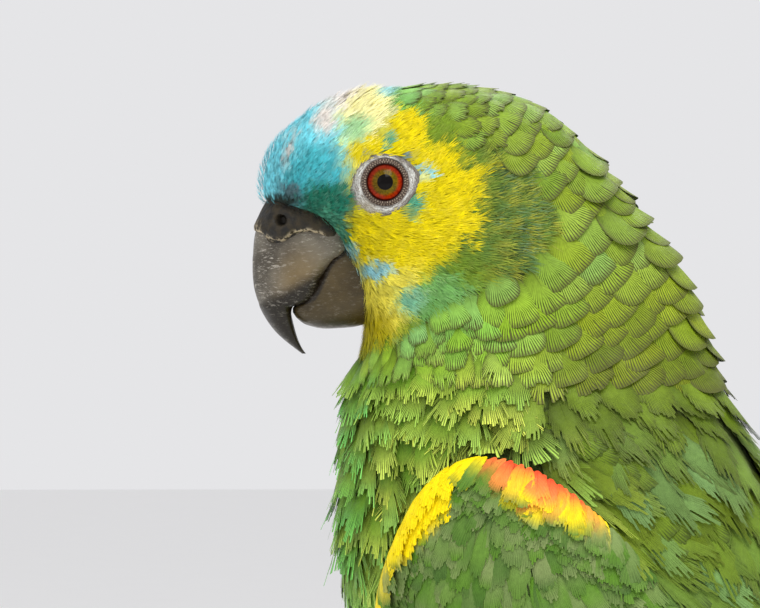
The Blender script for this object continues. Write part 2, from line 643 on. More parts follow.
# ---------------------------------------------------------------------------
# What a feather looks like close up: fine barbs with dark slits between them
# towards the edge, a dusky fringe, and a thin shaft.
def barb_effect():
    group = bpy.data.node_groups.new("barbs", "ShaderNodeTree")
    kinds = {"Colour": "Color", "Tint": "Color", "Fringe Colour": "Color"}
    for name in ("Barbs", "Slit Depth", "Tint", "Fringe", "Fringe Colour"):
        group.interface.new_socket(name, in_out="INPUT", socket_type="NodeSocket" + kinds.get(name, "Float"))
    for name in ("Colour", "Roughness", "Relief"):
        group.interface.new_socket(name, in_out="OUTPUT", socket_type="NodeSocket" + kinds.get(name, "Float"))
    given, result = group.nodes.new("NodeGroupInput"), group.nodes.new("NodeGroupOutput")
    tint, spot = Wire(given, "Tint"), object_spot(group)
    along, out, _ = Wire(node(group, "ShaderNodeUVMap", uv_map="Vane")).parts()
    rim, wander = attribute(group, "Rim"), noise(spot, 260.0)
    wave = (along * Wire(given, "Barbs") * (2 * math.pi) + wander * 2.6).maths("SINE")
    slit = wave.fade(-0.15, 0.75)
    openness = rim.fade(0.0, 0.6, 0.3, 1.0) * wander.fade(0.35, 0.55, 0.7, 1.0)
    dark = (slit * openness * Wire(given, "Slit Depth")).clamped()
    colour = mix(dark, tint, mix(1.0, tint, (0.14, 0.14, 0.12), "MULTIPLY"))
    ragged_rim = rim + (slit - 0.5) * 0.3
    edge = (ragged_rim.fade(0.52, 0.92) * Wire(given, "Fringe")).clamped()
    colour = mix(edge, colour, Wire(given, "Fringe Colour"))
    midrib = out.fade(0.05, 0.0) * 0.45
    colour = mix(midrib, colour, mix(1.0, tint, (0.3, 0.26, 0.2), "MULTIPLY"))
    mottle = mix(noise(spot, 1100.0), (0.78, 0.78, 0.78), (1.2, 1.2, 1.2))
    values = mix(1.0, colour, mottle, "MULTIPLY"), wander.fade(0.3, 0.7, 0.42, 0.62), wave * 0.5 - midrib
    for value, socket in zip(values, ("Colour", "Roughness", "Relief")):
        group.links.new(value.socket, result.inputs[socket])
    return group


BARBS = barb_effect()


def feather_material(name, barbs, slit_depth, fringe_colour):
    material, tree, shader = new_material(name, (0.2, 0.4, 0.1), 0.55, Specular_IOR_Level=0.13)
    values = {"Barbs": barbs, "Slit Depth": slit_depth, "Fringe Colour": (*fringe_colour, 1)}
    values |= {"Tint": attribute(tree, "Tint", "Color"), "Fringe": attribute(tree, "Tint", "Alpha")}
    barb = node(tree, "ShaderNodeGroup", values, node_tree=BARBS)
    feed(shader, Wire(barb, "Colour"), Wire(barb, "Roughness"), Wire(barb, "Relief"))
    return material


# ---------------------------------------------------------------------------
# Body plumage. Rows of scale-like feathers run across the body, each row set
# half a feather over from the last. They fan round the throat over the crown
# and nape, and go on down the neck, breast, back and belly to the tail coverts.
# Each key row: on the back outline behind and up, on the front outline behind
# and up, share of the head's turn, feather size at the back and at the front.
ROW_KEYS = [
    (-37.0, 245.0, -41.0, 196.0, 1.00, 3.4, 2.6),
    (-28.0, 246.0, -41.0, 195.5, 1.00, 3.6, 2.6),
    (-16.0, 245.5, -41.0, 195.0, 1.00, 4.0, 2.7),
    (-5.0, 243.0, -41.0, 194.0, 1.00, 4.6, 2.8),
    (8.0, 236.0, -41.0, 192.5, 1.00, 5.2, 3.0),
    (17.0, 226.5, -41.0, 191.0, 1.00, 5.9, 3.2),
    (26.0, 215.5, -41.5, 189.0, 1.00, 6.3, 3.4),
    (35.0, 204.0, -42.0, 187.0, 1.00, 6.8, 3.7),
    (41.0, 193.0, -42.0, 184.0, 0.97, 7.0, 4.0),
    (44.0, 182.0, -43.0, 180.0, 0.86, 7.0, 4.6),
    (47.5, 173.0, -44.5, 174.0, 0.68, 7.0, 5.2),
    (51.5, 164.0, -46.0, 166.0, 0.42, 7.2, 5.8),
    (57.0, 154.0, -46.5, 155.0, 0.18, 7.4, 6.2),
    (63.5, 143.0, -46.4, 142.0, 0.05, 7.6, 6.6),
    (71.0, 129.0, -45.3, 125.0, 0.0, 8.0, 7.0),
    (79.5, 115.5, -40.8, 107.0, 0.0, 8.4, 7.4),
    (89.0, 103.0, -32.0, 90.5, 0.0, 8.8, 7.8),
    (99.0, 91.5, -18.5, 74.5, 0.0, 9.0, 8.2),
    (109.0, 81.8, 0.0, 60.5, 0.0, 9.0, 8.4),
    (118.5, 74.0, 23.0, 51.0, 0.0, 9.2, 8.6),
    (127.5, 67.5, 47.0, 46.8, 0.0, 9.6, 9.0),
    (136.5, 61.6, 70.0, 47.0, 0.0, 10.0, 9.4),
    (145.0, 56.0, 91.0, 47.6, 0.0, 10.5, 9.8),
    (150.0, 52.5, 112.0, 45.2, 0.0, 11.0, 10.2),
    (156.5, 47.9, 131.0, 41.0, 0.0, 11.0, 10.6),
    (166.0, 41.5, 149.0, 35.8, 0.0, 11.0, 11.0),
]
# The face, where feathers are fine and hair-like: an outline on the side of the
# head, from the crown round behind the ear and along the cheek to the chin.
FACE_OUTLINE = [
    (-36.0, 260.0), (-35.0, 238.5), (-24.5, 239.0), (-19.0, 233.0), (-11.0, 230.5), (-4.5, 226.0), (-0.5, 217.5),
    (0.5, 209.0), (-6.0, 201.5), (-13.0, 198.0), (-21.5, 194.5), (-28.5, 189.5), (-34.0, 184.0), (-41.0, 181.0),
    (-80.0, 181.0), (-80.0, 260.0),
]


def run_of(line):
    """How far along a line of points each one is."""
    run = [0.0]
    for before, after in zip(line, line[1:]):
        run.append(run[-1] + math.dist(before, after))
    return run


key_span = run_of([key[:2] for key in ROW_KEYS])


def inside(outline, x, z):
    within = False
    for (x1, z1), (x2, z2) in zip(outline, outline[1:] + outline[:1]):
        if (z1 > z) != (z2 > z) and x < x1 + (z - z1) / (z2 - z1) * (x2 - x1):
            within = not within
    return within


def row_at(span):
    return [float(np.interp(span, key_span, [key[i] for key in ROW_KEYS])) for i in range(7)]


def slipped(span, angle):
    """Rows on the side of the neck hang lower than at the nape."""
    beside = smooth_step(key_span[2], key_span[6], span) * smooth_step(key_span[15], key_span[9], span)
    return span + 20.0 * beside * smooth_step(0.0, 0.55, angle / math.pi)


RAY = 0.12  # metres, from outside the body to its middle


def row_spot(span, angle, side):
    """Where a row meets the skin at an angle round the body from the back."""
    back_x, back_z, front_x, front_z, turn = row_at(min(slipped(span, angle), key_span[-1]))[:5]
    back, front = place(back_x, 0, back_z, turn), place(front_x, 0, front_z, turn)
    sideways = (place(0, 1, 0, turn) - place(0, 0, 0, turn)).normalized()
    centre = (back + front) / 2
    out = (back - front).normalized() * math.cos(angle) + sideways * side * math.sin(angle)
    return skin_tree.ray_cast(centre + out * RAY, -out, RAY)[0]


class Spacing:
    """Keeps roots from crowding."""

    def __init__(self, cell):
        self.cell, self.kept = cell * MM, {}

    def accepts(self, point, gap):
        home = tuple(int(c // self.cell) for c in point)
        near = int(gap * MM // self.cell) + 1
        for i in range(-near, near + 1):
            for j in range(-near, near + 1):
                for k in range(-near, near + 1):
                    for other in self.kept.get((home[0] + i, home[1] + j, home[2] + k), ()):
                        if (other - point).length < gap * MM:
                            return False
        self.kept.setdefault(home, []).append(point)
        return True


body_roots = []
spacing = Spacing(4.0)
span, row = 0.0, 0
ANGLES = np.linspace(0.0, math.pi, 61)
while span < key_span[-1]:
    back_size, front_size = row_at(span)[5:]
    for side in (-1, 1):
        spots = [row_spot(span, a, side) for a in ANGLES]
        usable = [(a, s) for a, s in zip(ANGLES, spots) if s is not None]
        if len(usable) < 8:
            continue
        gone, marks = 0.0, [0.0]
        for (_, p), (b, q) in zip(usable, usable[1:]):
            size = toward(back_size, front_size, smooth_step(0.15, 0.85, b / math.pi))
            gone += (q - p).length / MM / (size * 1.15)
            marks.append(gone)
        for number in range(int(gone) + 1):
            mark = number + (0.5 if row % 2 else 0.0) + (draw.uniform(-0.08, 0.08) if number else 0.0)
            if mark > gone or (side > 0 and mark < 0.2):
                continue
            angle = float(np.interp(mark, marks, [a for a, _ in usable]))
            size = toward(back_size, front_size, smooth_step(0.15, 0.85, angle / math.pi))
            root = row_spot(span, angle, side)
            onward = row_spot(min(span + 1.5, key_span[-1]), angle, side)
            beside = row_spot(span, angle + (0.06 if angle < 3.0 else -0.06), side)
            if root is None or onward is None or beside is None:
                continue
            flow = onward - root
            if span < key_span[14] and (beside - root).length < 6 * MM:
                beside = (beside - root).normalized()
                flow -= beside * flow.dot(beside) * smooth_step(key_span[14], key_span[12], span)
            body_roots.append((root, flow, size, slipped(span, angle), angle / math.pi, side))
    span += back_size * 0.92
    row += 1

# The folded wing on the body, from its bend to its tip: lower edge behind and up, upper edge behind and up.
WING_LINE = [
    (-25.5, 131.5, -20.5, 142.5), (-28.3, 120.0, -13.0, 151.5), (-28.5, 107.0, -2.0, 155.6), (-24.0, 94.0, 11.0, 152.5),
    (-13.5, 81.5, 25.5, 142.5), (3.0, 71.0, 40.5, 127.5), (26.0, 63.0, 58.0, 111.5), (54.0, 57.5, 78.5, 96.5),
    (84.0, 53.5, 100.0, 82.5), (112.0, 51.0, 121.0, 71.5), (136.0, 49.5, 141.0, 62.0), (151.0, 48.0, 153.0, 53.0),
]
WING_OUTLINE = [line[:2] for line in WING_LINE] + [line[2:] for line in reversed(WING_LINE)]


def room_before_wing(root, flow, length):
    """How much of a body feather, as a share, fits before it would lie over the wing's bend."""
    for share in np.linspace(0.25, 1.0, 7):
        x, y, z = own_place(root + flow * (length * share * MM))
        if abs(y) > 14 and x < 24 and inside(WING_OUTLINE, x, z):
            return share - 0.12
    return 1.0


def hidden(root, flow, length, x):
    """Whether a feather on the hind body would lie under a wing, or in a fold of the skin."""
    if x > 60:
        end = root + flow * (length * 0.6 * MM)
        if on_part(end) == "wing" or wing_solids.find_nearest(root)[3] < 3 * MM:
            return True
        if x > 120 and abs(skin_tree.find_nearest(root)[1].y) > 0.55:
            return True
    if x > 50:
        outwards = lay(root, flow, length * MM, 4)[2]
        if min(n.dot(outwards[0]) for n in outwards) < 0.5:
            return True
        return skin_tree.ray_cast(root + outwards[0] * (0.5 * MM), outwards[0], 0.012)[0] is not None
    return False


def direction(behind, right, up):
    """A direction on the body, which isn't turned as the head is."""
    return place(behind, right, up, 0) - place(0, 0, 0, 0)


NECK_SPAN = key_span[9]
TAILWARD = direction(1, 0, 0).normalized()
BODY_FEATHER = feather_material("body_feather", 21.0, 1.0, srgb(74, 76, 36))
MANTLE_FEATHER = feather_material("mantle_feather", 23.0, 0.9, srgb(70, 78, 34))
BACK_FEATHER = feather_material("back_feather", 24.0, 0.6, srgb(70, 78, 34))
BACK_HAZE, BACK_MOSS = srgb(124, 166, 104), srgb(112, 134, 18)
LIME_TURN, MINT_TURN = srgb(176, 188, 24), srgb(150, 204, 130)
PLUMAGES = {
    "nape_plumage": (BODY_FEATHER, "feather_head"),
    "breast_plumage": (BODY_FEATHER, "feather_body"),
    "mantle_plumage": (MANTLE_FEATHER, "feather_body"),
    "back_plumage": (BACK_FEATHER, "feather_body"),
    "belly_plumage": (BODY_FEATHER, "feather_body"),
}
groups = {name: Plumage() for name in PLUMAGES}
for root, flow, size, span, round_by, side in body_roots:
    x, y, z = own_place(root)
    if flow.length < 0.05 * MM or on_part(root) == "wing":
        continue
    if inside(FACE_OUTLINE, x + draw.normal(0, 1.0), z + draw.normal(0, 1.0)) or not spacing.accepts(root, size * 0.55):
        continue
    on_nape = span < NECK_SPAN
    shoulder = smooth_step(-6, 8, x) * smooth_step(172, 152, z) * smooth_step(12, 26, abs(y))
    flow = (flow.normalized() + TAILWARD * 0.9 * shoulder).normalized()
    breast = smooth_step(0.35, 0.6, round_by) * smooth_step(key_span[7], key_span[10], span)
    breast *= smooth_step(key_span[19], key_span[15], span)
    mantle = smooth_step(key_span[8], key_span[10], span) * smooth_step(key_span[16], key_span[14], span) * (1 - breast)
    near_face = on_nape * smooth_step(60, 48, math.dist((x, y, z), MUZZLE))
    half_width = size * (1.1 - 0.12 * breast - 0.2 * mantle - 0.3 * near_face)
    length = size * (2.5 + 0.5 * breast)
    length *= draw.uniform(1 - 0.15 * mantle, 1 + 0.2 * mantle)
    if hidden(root, flow, length, x):
        continue
    room = room_before_wing(root, flow, length)
    if room < 0.4:
        continue
    length *= room

    tip_x, _, tip_z = own_place(root + flow * length * 0.7 * MM)
    main = marking(tip_x + draw.uniform(-1.5, 1.5), tip_z + draw.uniform(-1.5, 1.5))
    main = main * draw.uniform(0.82 - 0.15 * mantle - 0.14 * breast, 1.16)
    main = toward(main, LIME_TURN, draw.uniform(0, 0.35) * on_nape)
    minty = on_nape * max(smooth_step(196, 208, z), smooth_step(8, -8, x))
    main = toward(main, MINT_TURN, draw.uniform(0, 0.55) ** 2 * minty)
    main = main * (1 - 0.3 * smooth_step(202, 184, z) * smooth_step(-4, 12, x) * on_nape) * (1 + 0.16 * breast)
    on_back = mantle * smooth_step(176, 160, z)
    back_turn = (BACK_HAZE, BACK_MOSS)[draw.integers(2)] * draw.uniform(0.75, 1.1)
    main = toward(main, back_turn, draw.uniform(0, 0.75) * on_back)
    middle_tone = toward(main, BREAST_LIME, breast * draw.uniform(0.0, 0.5)) * (1 - 0.52 * breast)
    base_tone = main * np.array([0.5, 0.5, 0.35]) * (1 - 0.6 * breast) * (1 - 0.3 * on_back)
    limy = min(max(draw.uniform(-0.3, 0.7) + 0.75 * smooth_step(-38, -22, x), 0.0), 1.0)
    tip = toward(main * 0.95, toward(BREAST_TIP, BREAST_LIME, limy), breast * draw.uniform(0.75, 1.4))

    if breast + mantle > 0.3:
        ragged = round(0.9 * breast + 0.7 * mantle, 1)
    elif near_face > 0.3:
        ragged = 0.3
    else:
        ragged = 0.0 if on_nape or span < key_span[20] else 0.1
    pattern = vane_pattern(17 if ragged else 11, ragged, 0.7 if mantle > 0.5 else 0.0)
    sway = draw.normal(0, 0.05 + 0.14 * breast + 0.16 * mantle)
    side_turn = Matrix.Rotation(sway, 3, skin_tree.find_nearest(root)[1])
    if on_nape:
        name = "nape_plumage"
    elif round_by > 0.5:
        name = "belly_plumage" if z < 105 else "breast_plumage"
    else:
        name = "mantle_plumage" if mantle > 0.3 and shoulder < 0.5 and z > 140 else "back_plumage"
        length, half_width = length * (1.15 + 0.2 * on_back), half_width * (0.8 - 0.16 * on_back)
    stray = 0.0
    if round_by < 0.14 and key_span[4] < span < key_span[14]:
        stray = draw.uniform(0, 1.4)
    elif side < 0 and round_by > 0.8 and key_span[8] < span < key_span[13]:
        stray = draw.uniform(0, 1.0)
    fringe = 0.85 if on_nape else 0.2 if name == "back_plumage" and z > 100 else 0.6 - 0.4 * breast
    patch = (0.5 + side * round_by * 0.49, 0.01 + 0.98 * span / key_span[-1])
    add_feather(groups[name], root, side_turn @ flow, length * draw.uniform(0.92, 1.1),
                half_width * draw.uniform(0.94, 1.08), pattern, (base_tone, middle_tone, tip), patch,
                base=0.35, lift=(0.085 + 0.12 * breast) * length + stray, droop=0.25,
                tilt=draw.normal(0, 0.04 + 0.06 * breast), curl=draw.uniform(-0.3, 0.5) + stray,
                fringe=fringe, stiffness=0.5 * smooth_step(70, 100, x))
for name, (material, slot) in PLUMAGES.items():
    groups[name].piece(name, material, slot)

# ---------------------------------------------------------------------------
# Face. Its fine, hair-like feathers are tufts of thin strands. They stream back
# from the bill and round the eye, short at the bill and longer at the ear. The
# bare ring round the eye and the bill have none.
EYE_BEHIND, EYE_UP = -34.8, 221.1
# How far the bare ring reaches, in mm, at angles round the eye from the rear.
RING_ANGLES = (-180, -150, -135, -110, -90, -60, -30, -5, 14, 32, 60, 90, 125, 155, 180)
RING_REACH = (7.6, 7.9, 8.4, 8.0, 7.3, 6.7, 6.6, 7.1, 7.7, 6.8, 6.2, 6.2, 6.5, 7.1, 7.6)
TRIES_PER_ROOT = 7
hard_parts = solid_tree(("bill_upper", "bill_lower", "cere"))


def ring_reach(x, z):
    """A place's distance from the eye's centre, as a share of the bare ring there."""
    dx, dz = x - EYE_BEHIND, z - EYE_UP
    return math.hypot(dx, dz) / float(np.interp(math.degrees(math.atan2(dz, dx)), RING_ANGLES, RING_REACH))


def scattered(gap, wanted):
    """Roots spread evenly over the part of the skin where `wanted` is true of a point."""
    mesh = skin.data
    mesh.calc_loop_triangles()
    corners = [tuple(mesh.vertices[v].co.copy() for v in t.vertices) for t in mesh.loop_triangles]
    corners = [c for c in corners if wanted((c[0] + c[1] + c[2]) / 3)]
    areas = np.array([((b - a).cross(c - a)).length / 2 for a, b, c in corners])
    tries = int(TRIES_PER_ROOT * areas.sum() / (gap * MM) ** 2)
    apart, roots = Spacing(gap), []
    for pick in draw.choice(len(corners), size=tries, p=areas / areas.sum()):
        a, b, c = corners[pick]
        p, q = draw.uniform(size=2)
        if p + q > 1:
            p, q = 1 - p, 1 - q
        point = a + (b - a) * p + (c - a) * q
        if wanted(point) and apart.accepts(point, gap):
            roots.append(point)
    return roots


def on_face(point):
    x, y, z = own_place(point)
    if z < 179 or x > 8 or not inside(FACE_OUTLINE, x - draw.uniform(0, 2.0), z):
        return False
    if ring_reach(x, z) < draw.uniform(0.95, 1.03) and abs(y) > 8:
        return False
    hit, outward, _, distance = hard_parts.find_nearest(point)
    return (point - hit).dot(outward) > 0.1 * MM and (distance > 0.4 * MM or z > 214)


def face_flow(x, y, z):
    """Which way the face's feathers stream: back from the bill, and round the eye."""
    flow = (Vector((x, y, z)) - Vector(MUZZLE)).normalized()
    flow += Vector((x + 34.0, 0, z - 208.0)).normalized() * 1.3 * smooth_step(-31, -18, x)
    flow.normalize()
    if abs(y) > 8:
        inward = Vector((EYE_BEHIND - x, 0, EYE_UP - z)).normalized()
        flow -= inward * max(flow.dot(inward), 0) * smooth_step(2.2, 1.1, ring_reach(x, z)) * 1.15
    return flow.normalized()


face_paint, tree, shader = new_material("face_feather", (0.5, 0.5, 0.1), 0.6, Specular_IOR_Level=0.13)
streak = noise(object_spot(tree), 1500.0)
streaks = mix(streak, (0.75, 0.75, 0.72), (1.2, 1.2, 1.18))
feed(shader, mix(1.0, attribute(tree, "Tint", "Color"), streaks, "MULTIPLY"), streak.fade(0.3, 0.7, 0.5, 0.7))
face = Plumage()
for root in scattered(0.88, on_face):
    x, y, z = own_place(root)
    from_bill = math.dist((x, y, z), MUZZLE)
    flow = face_flow(x, y, z)
    heading = (place(x + flow.x, y + flow.y, z + flow.z) - place(x, y, z)).normalized()
    heading = Matrix.Rotation(draw.normal(0, 0.13), 3, skin_tree.find_nearest(root)[1]) @ heading
    forehead = smooth_step(232, 240, z) * smooth_step(-34, -44, x)
    ear = smooth_step(-17, -8, x)
    onward = 2 + draw.normal(0, 2.6) * smooth_step(-24, -14, x)
    main = marking(x + flow.x * onward + draw.normal(0, 0.6), z + flow.z * onward + draw.normal(0, 0.6))
    main = main * draw.uniform(0.8, 1.15)
    main = toward(main, (EAR_OLIVE, EAR_TEAL)[draw.integers(2)], draw.uniform(0, 0.7) * ear)
    length = 2.3 + 2.6 * smooth_step(12, 34, from_bill) + 2.2 * ear + 1.6 * forehead
    pale = np.array([1.0, 0.98, 0.86]) if main[2] > 0.4 * main[0] else np.array([1.0, 0.94, 0.3])
    tip = toward(main, pale, draw.uniform(0.0, 0.22))
    dusk = 0.62 * ear * draw.uniform(0, 1) ** 2.5 + 0.3 * smooth_step(22, 14, from_bill) * draw.uniform(0, 1)
    colours = main * (0.75 - 0.4 * ear - dusk), main * (1 - dusk), tip * (1 - dusk * 0.6)
    patch = (0.5 + math.copysign(math.atan2(abs(y), -x) / 7, y), (z - 170) / 90)
    add_feather(face, root, heading, length * draw.uniform(0.85, 1.15), length * 0.30, spray_pattern(9, 0.095),
                colours, patch, base=0.05 + 0.9 * smooth_step(-56, -64, x),
                lift=0.5 + 0.35 * draw.uniform() + 2.6 * forehead * draw.uniform() ** 2, droop=0.1,
                tilt=draw.normal(0, 0.05), steps=2, across=3)
face.piece("face_feathers", face_paint, "feather_head")

# ---------------------------------------------------------------------------
# Eyes. A wet round eyeball shows between the lids: a black pupil, an olive inner
# iris and a red outer one. The lids carry two rows of tiny pale pads, and round
# them lies a bare, wrinkled, whitish ring.
EYEBALL = 5.3
CORNEA, CORNEA_BULGE = 3.9, 0.3
LID_INNER, LID_OUTER, LID_HEIGHT = 4.35, 5.65, 3.02
PADS_AROUND = 50


def round_piece(name, rows, material):
    """A surface of rings of points; a ring of one point closes an end."""
    points, faces, first = [], [], []
    for row in rows:
        first.append(len(points))
        points += row
    for a, (row, onward) in enumerate(zip(rows, rows[1:])):
        count = max(len(row), len(onward))
        for k in range(count):
            n = (k + 1) % count
            if len(row) == 1:
                faces.append((first[a], first[a + 1] + k, first[a + 1] + n))
            elif len(onward) == 1:
                faces.append((first[a] + k, first[a + 1], first[a] + n))
            else:
                faces.append((first[a] + k, first[a + 1] + k, first[a + 1] + n, first[a] + n))
    piece = add_mesh(name, points, faces, material)
    fix = bmesh.new()
    fix.from_mesh(piece.data)
    bmesh.ops.recalc_face_normals(fix, faces=fix.faces)
    fix.to_mesh(piece.data)
    fix.free()
    piece.data.shade_smooth()
    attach(piece, "root")
    return piece


def add_values(piece, name, kind, field, values):
    """Stores values on a piece's points under a name its material reads."""
    values = np.array(values, dtype=np.float32).ravel()
    piece.data.attributes.new(name, kind, "POINT").data.foreach_set(field, values)


def polar(tree):
    """From the Disc attribute: itself, its x and y, the distance from the eye's axis in mm, the angle round it."""
    disc = attribute(tree, "Disc", "Vector")
    x, y, _ = disc.parts()
    reach = Wire(node(tree, "ShaderNodeVectorMath", {0: disc}, operation="LENGTH"), "Value")
    return disc, x, y, reach, y.maths("ARCTAN2", x)


def wrapped(angle, size, depth):
    """A spot on a cylinder, where noise has no seam as it goes round."""
    values = {0: angle.maths("COSINE") * size, 1: angle.maths("SINE") * size, 2: depth}
    return Wire(node(angle.tree, "ShaderNodeCombineXYZ", values))


WET = {"Coat_Weight": 0.8, "Coat_Roughness": 0.02, "Coat_IOR": 1.2, "Specular_IOR_Level": 0.0}
eye_paint, tree, shader = new_material("eyeball", (0.3, 0.05, 0.02), 0.4, **WET)
disc, x, y, reach, angle = polar(tree)
fibres = noise(wrapped(angle, 7.0, reach * 1.2), 1.0, 3.0)
tangle = fibres.fade(0.3, 0.7)
olive = mix(tangle, srgb(74, 62, 2), srgb(110, 92, 4))
red = mix(tangle, srgb(120, 18, 2), srgb(166, 44, 8))
iris = mix((reach + (fibres - 0.5) * 0.5).fade(2.6, 3.6), olive, red)
under_lid = y.fade(1.2, 4.2, 0.0, 0.5) + x.fade(1.0, -3.6, 0.0, 0.35)
iris = mix(under_lid, iris, srgb(70, 22, 8))
iris = mix(reach.fade(3.75, 4.25), iris, srgb(46, 8, 6))
iris = mix(reach.fade(1.95, 1.82), iris, (0.004, 0.003, 0.003))
feed(shader, iris, fibres.fade(0.3, 0.7, 0.22, 0.34))

ring_paint, tree, shader = new_material("eye_ring", (0.4, 0.38, 0.34), 0.6, Specular_IOR_Level=0.35)
disc, x, y, reach, angle = polar(tree)
wobble, grain = noise(disc, 0.9), noise(disc, 2.6, 5.0, 0.7)
folds = noise(wrapped(angle, 5.0, reach * 5.0 + wobble * 4.0), 0.9, 4.0, 0.65)
pads = (angle * PADS_AROUND + (wobble * 9.0 + reach.fade(5.0, 5.1) * 2.6)).maths("SINE")
row_one = reach.fade(4.5, 4.65) * reach.fade(5.05, 4.9)
row_two = reach.fade(5.08, 5.2) * reach.fade(5.66, 5.45)
pad = (pads.fade(-0.2, 0.9) * (row_one + row_two * 0.75) * grain.fade(0.36, 0.58, 0.3, 1.0)).clamped()
lid = mix(pad, srgb(66, 50, 42), srgb(176, 162, 142))
low_front = x.fade(0.5, -4.5) * y.fade(-3.0, -6.0)
whiteness = (folds.fade(0.38, 0.62) * 0.65 + grain.fade(0.44, 0.62, 0.0, 0.35)).clamped()
bare = mix(whiteness, srgb(112, 102, 92), srgb(230, 234, 230))
outermost = ((grain - 0.5) * 0.5 + attribute(tree, "Share")).fade(0.93, 1.06)
bare = mix(outermost * 0.8, bare, srgb(74, 64, 52))
bare = mix(low_front * 0.6, bare, srgb(150, 138, 112))
specks = (cells(disc, 2.4).fade(0.34, 0.16) * (low_front * 0.7 + wobble.fade(0.5, 0.62, 0.0, 0.9))).clamped()
bare = mix(specks, bare, srgb(60, 50, 40))
lid_line = reach.fade(5.62, 5.78) * reach.fade(6.0, 5.84)
bare = mix(lid_line * grain.fade(0.4, 0.55, 0.15, 0.6), bare, srgb(84, 72, 62))
relief = pad * 1.2 + (folds + grain) * reach.fade(5.6, 6.0, 0.0, 1.6)
feed(shader, mix(reach.fade(5.6, 5.8), lid, bare), grain.fade(0.35, 0.65, 0.45, 0.75), relief, 0.8, 0.14)


def eye_spot(centre, axis, angle, reach, out):
    back, up = reach * math.cos(angle) * MM, reach * math.sin(angle) * MM
    return centre - AHEAD * back + UP * up + axis * (out * MM)


def lid_height(angle, reach, edge, skin_out):
    """How far out of the head the lids and the bare ring stand."""
    lid_out = LID_HEIGHT + 0.5 * math.sin(math.pi * min(max((reach - LID_INNER) / 1.1, 0), 1))
    lid_out += -0.45 * smooth_step(4.9, 5.7, reach) + 0.16 * math.sin(angle * 9) * smooth_step(5.3, 6.2, reach) * 0.5
    near_edge = smooth_step(LID_OUTER - 0.1, edge + 0.5, reach)
    out = toward(lid_out, skin_out + 0.55, near_edge)
    out += 0.35 * math.sin(math.pi * smooth_step(LID_OUTER, edge, reach))
    out -= 1.6 * smooth_step(edge + 0.5, edge + 1.4, reach)
    return max(out, skin_out + 0.3) if reach < edge + 0.5 else out


for side, label in ((-1, "left"), (1, "right")):
    axis = RIGHTWARD * side
    centre = middle(f"eye_{label}") - AHEAD * ((EYE_BEHIND + EYES_AHEAD) * MM) + UP * (0.2 * MM)
    turns = np.linspace(0, 2 * math.pi, 97)[:-1]
    rows, discs = [[eye_spot(centre, axis, 0, 0, EYEBALL + CORNEA_BULGE)]], [(0, 0, 0)]
    for fall in np.linspace(0, math.radians(112), 34)[1:]:
        reach = EYEBALL * math.sin(fall)
        out = EYEBALL * math.cos(fall) + CORNEA_BULGE * max(1 - (reach / CORNEA) ** 2, 0) ** 2
        rows.append([eye_spot(centre, axis, a, reach, out) for a in turns])
        discs += [(reach * math.cos(a), reach * math.sin(a), 0) for a in turns]
    ball = round_piece(f"eyeball_{label}", rows, eye_paint)
    add_values(ball, "Disc", "FLOAT_VECTOR", "vector", discs)
    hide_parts(f"eye_{label}")

    turns = np.linspace(0, 2 * math.pi, 193)[:-1]
    signed = [math.degrees(a if a <= math.pi else a - 2 * math.pi) for a in turns]
    edges = [float(np.interp(a, RING_ANGLES, RING_REACH)) for a in signed]
    rows, discs, shares = [], [], []
    for q in np.linspace(0, 1, 30):
        row = []
        for a, edge in zip(turns, edges):
            reach = toward(LID_INNER, edge + 1.4, q)
            hit = skin_tree.ray_cast(eye_spot(centre, axis, a, reach, 20), -axis, 0.04)[0]
            skin_out = (hit - centre).dot(axis) / MM if hit else 0.0
            row.append(eye_spot(centre, axis, a, reach, lid_height(a, reach, edge, skin_out)))
            discs.append((reach * math.cos(a), reach * math.sin(a), 0))
            shares.append(reach / edge)
        rows.append(row)
    ring = round_piece(f"eyelids_{label}", rows, ring_paint)
    add_values(ring, "Disc", "FLOAT_VECTOR", "vector", discs)
    add_values(ring, "Share", "FLOAT", "value", shares)

# ---------------------------------------------------------------------------
# Bill. The upper bill is a deep hook of horn with a tooth in its cutting edge.
# The lower one closes inside it. The horn is dark grey, scuffed and flaking
# where it meets the cere, the dark swollen skin round the nostrils.
# Each slice: front or lower point behind and up, back or upper point behind and up, half width.
UPPER_SLICES = [
    (-65.6, 210.5, -42.0, 210.5, 8.0), (-66.0, 209.0, -42.5, 209.0, 8.3), (-66.3, 207.0, -43.0, 207.0, 8.5),
    (-66.5, 204.0, -44.8, 204.0, 8.5), (-66.6, 202.9, -46.6, 202.9, 8.4), (-66.6, 200.4, -48.5, 200.4, 8.2),
    (-66.3, 196.6, -50.2, 196.6, 7.6), (-65.8, 194.5, -51.2, 194.5, 7.1), (-65.4, 193.2, -52.1, 193.2, 6.7),
    (-65.1, 192.4, -53.6, 192.4, 6.4), (-65.0, 192.0, -55.4, 192.0, 6.2), (-64.9, 191.6, -56.9, 191.6, 6.0),
    (-64.2, 190.1, -57.3, 190.1, 5.4), (-62.6, 187.5, -56.8, 187.5, 4.4), (-61.0, 185.5, -56.3, 185.5, 3.5),
    (-59.0, 183.6, -55.7, 183.6, 2.6), (-56.4, 181.6, -54.8, 181.6, 1.3), (-54.6, 180.3, -53.9, 180.3, 0.5),
]
LOWER_SLICES = [
    (-30.0, 189.0, -40.0, 209.0, 6.6), (-37.6, 187.8, -47.6, 206.0, 7.1), (-43.2, 186.6, -50.0, 201.6, 7.0),
    (-49.0, 186.3, -52.4, 197.0, 6.4), (-53.6, 187.2, -54.8, 193.6, 5.4), (-56.0, 188.9, -56.2, 192.2, 4.2),
    (-56.9, 190.2, -56.9, 191.3, 2.4),
]
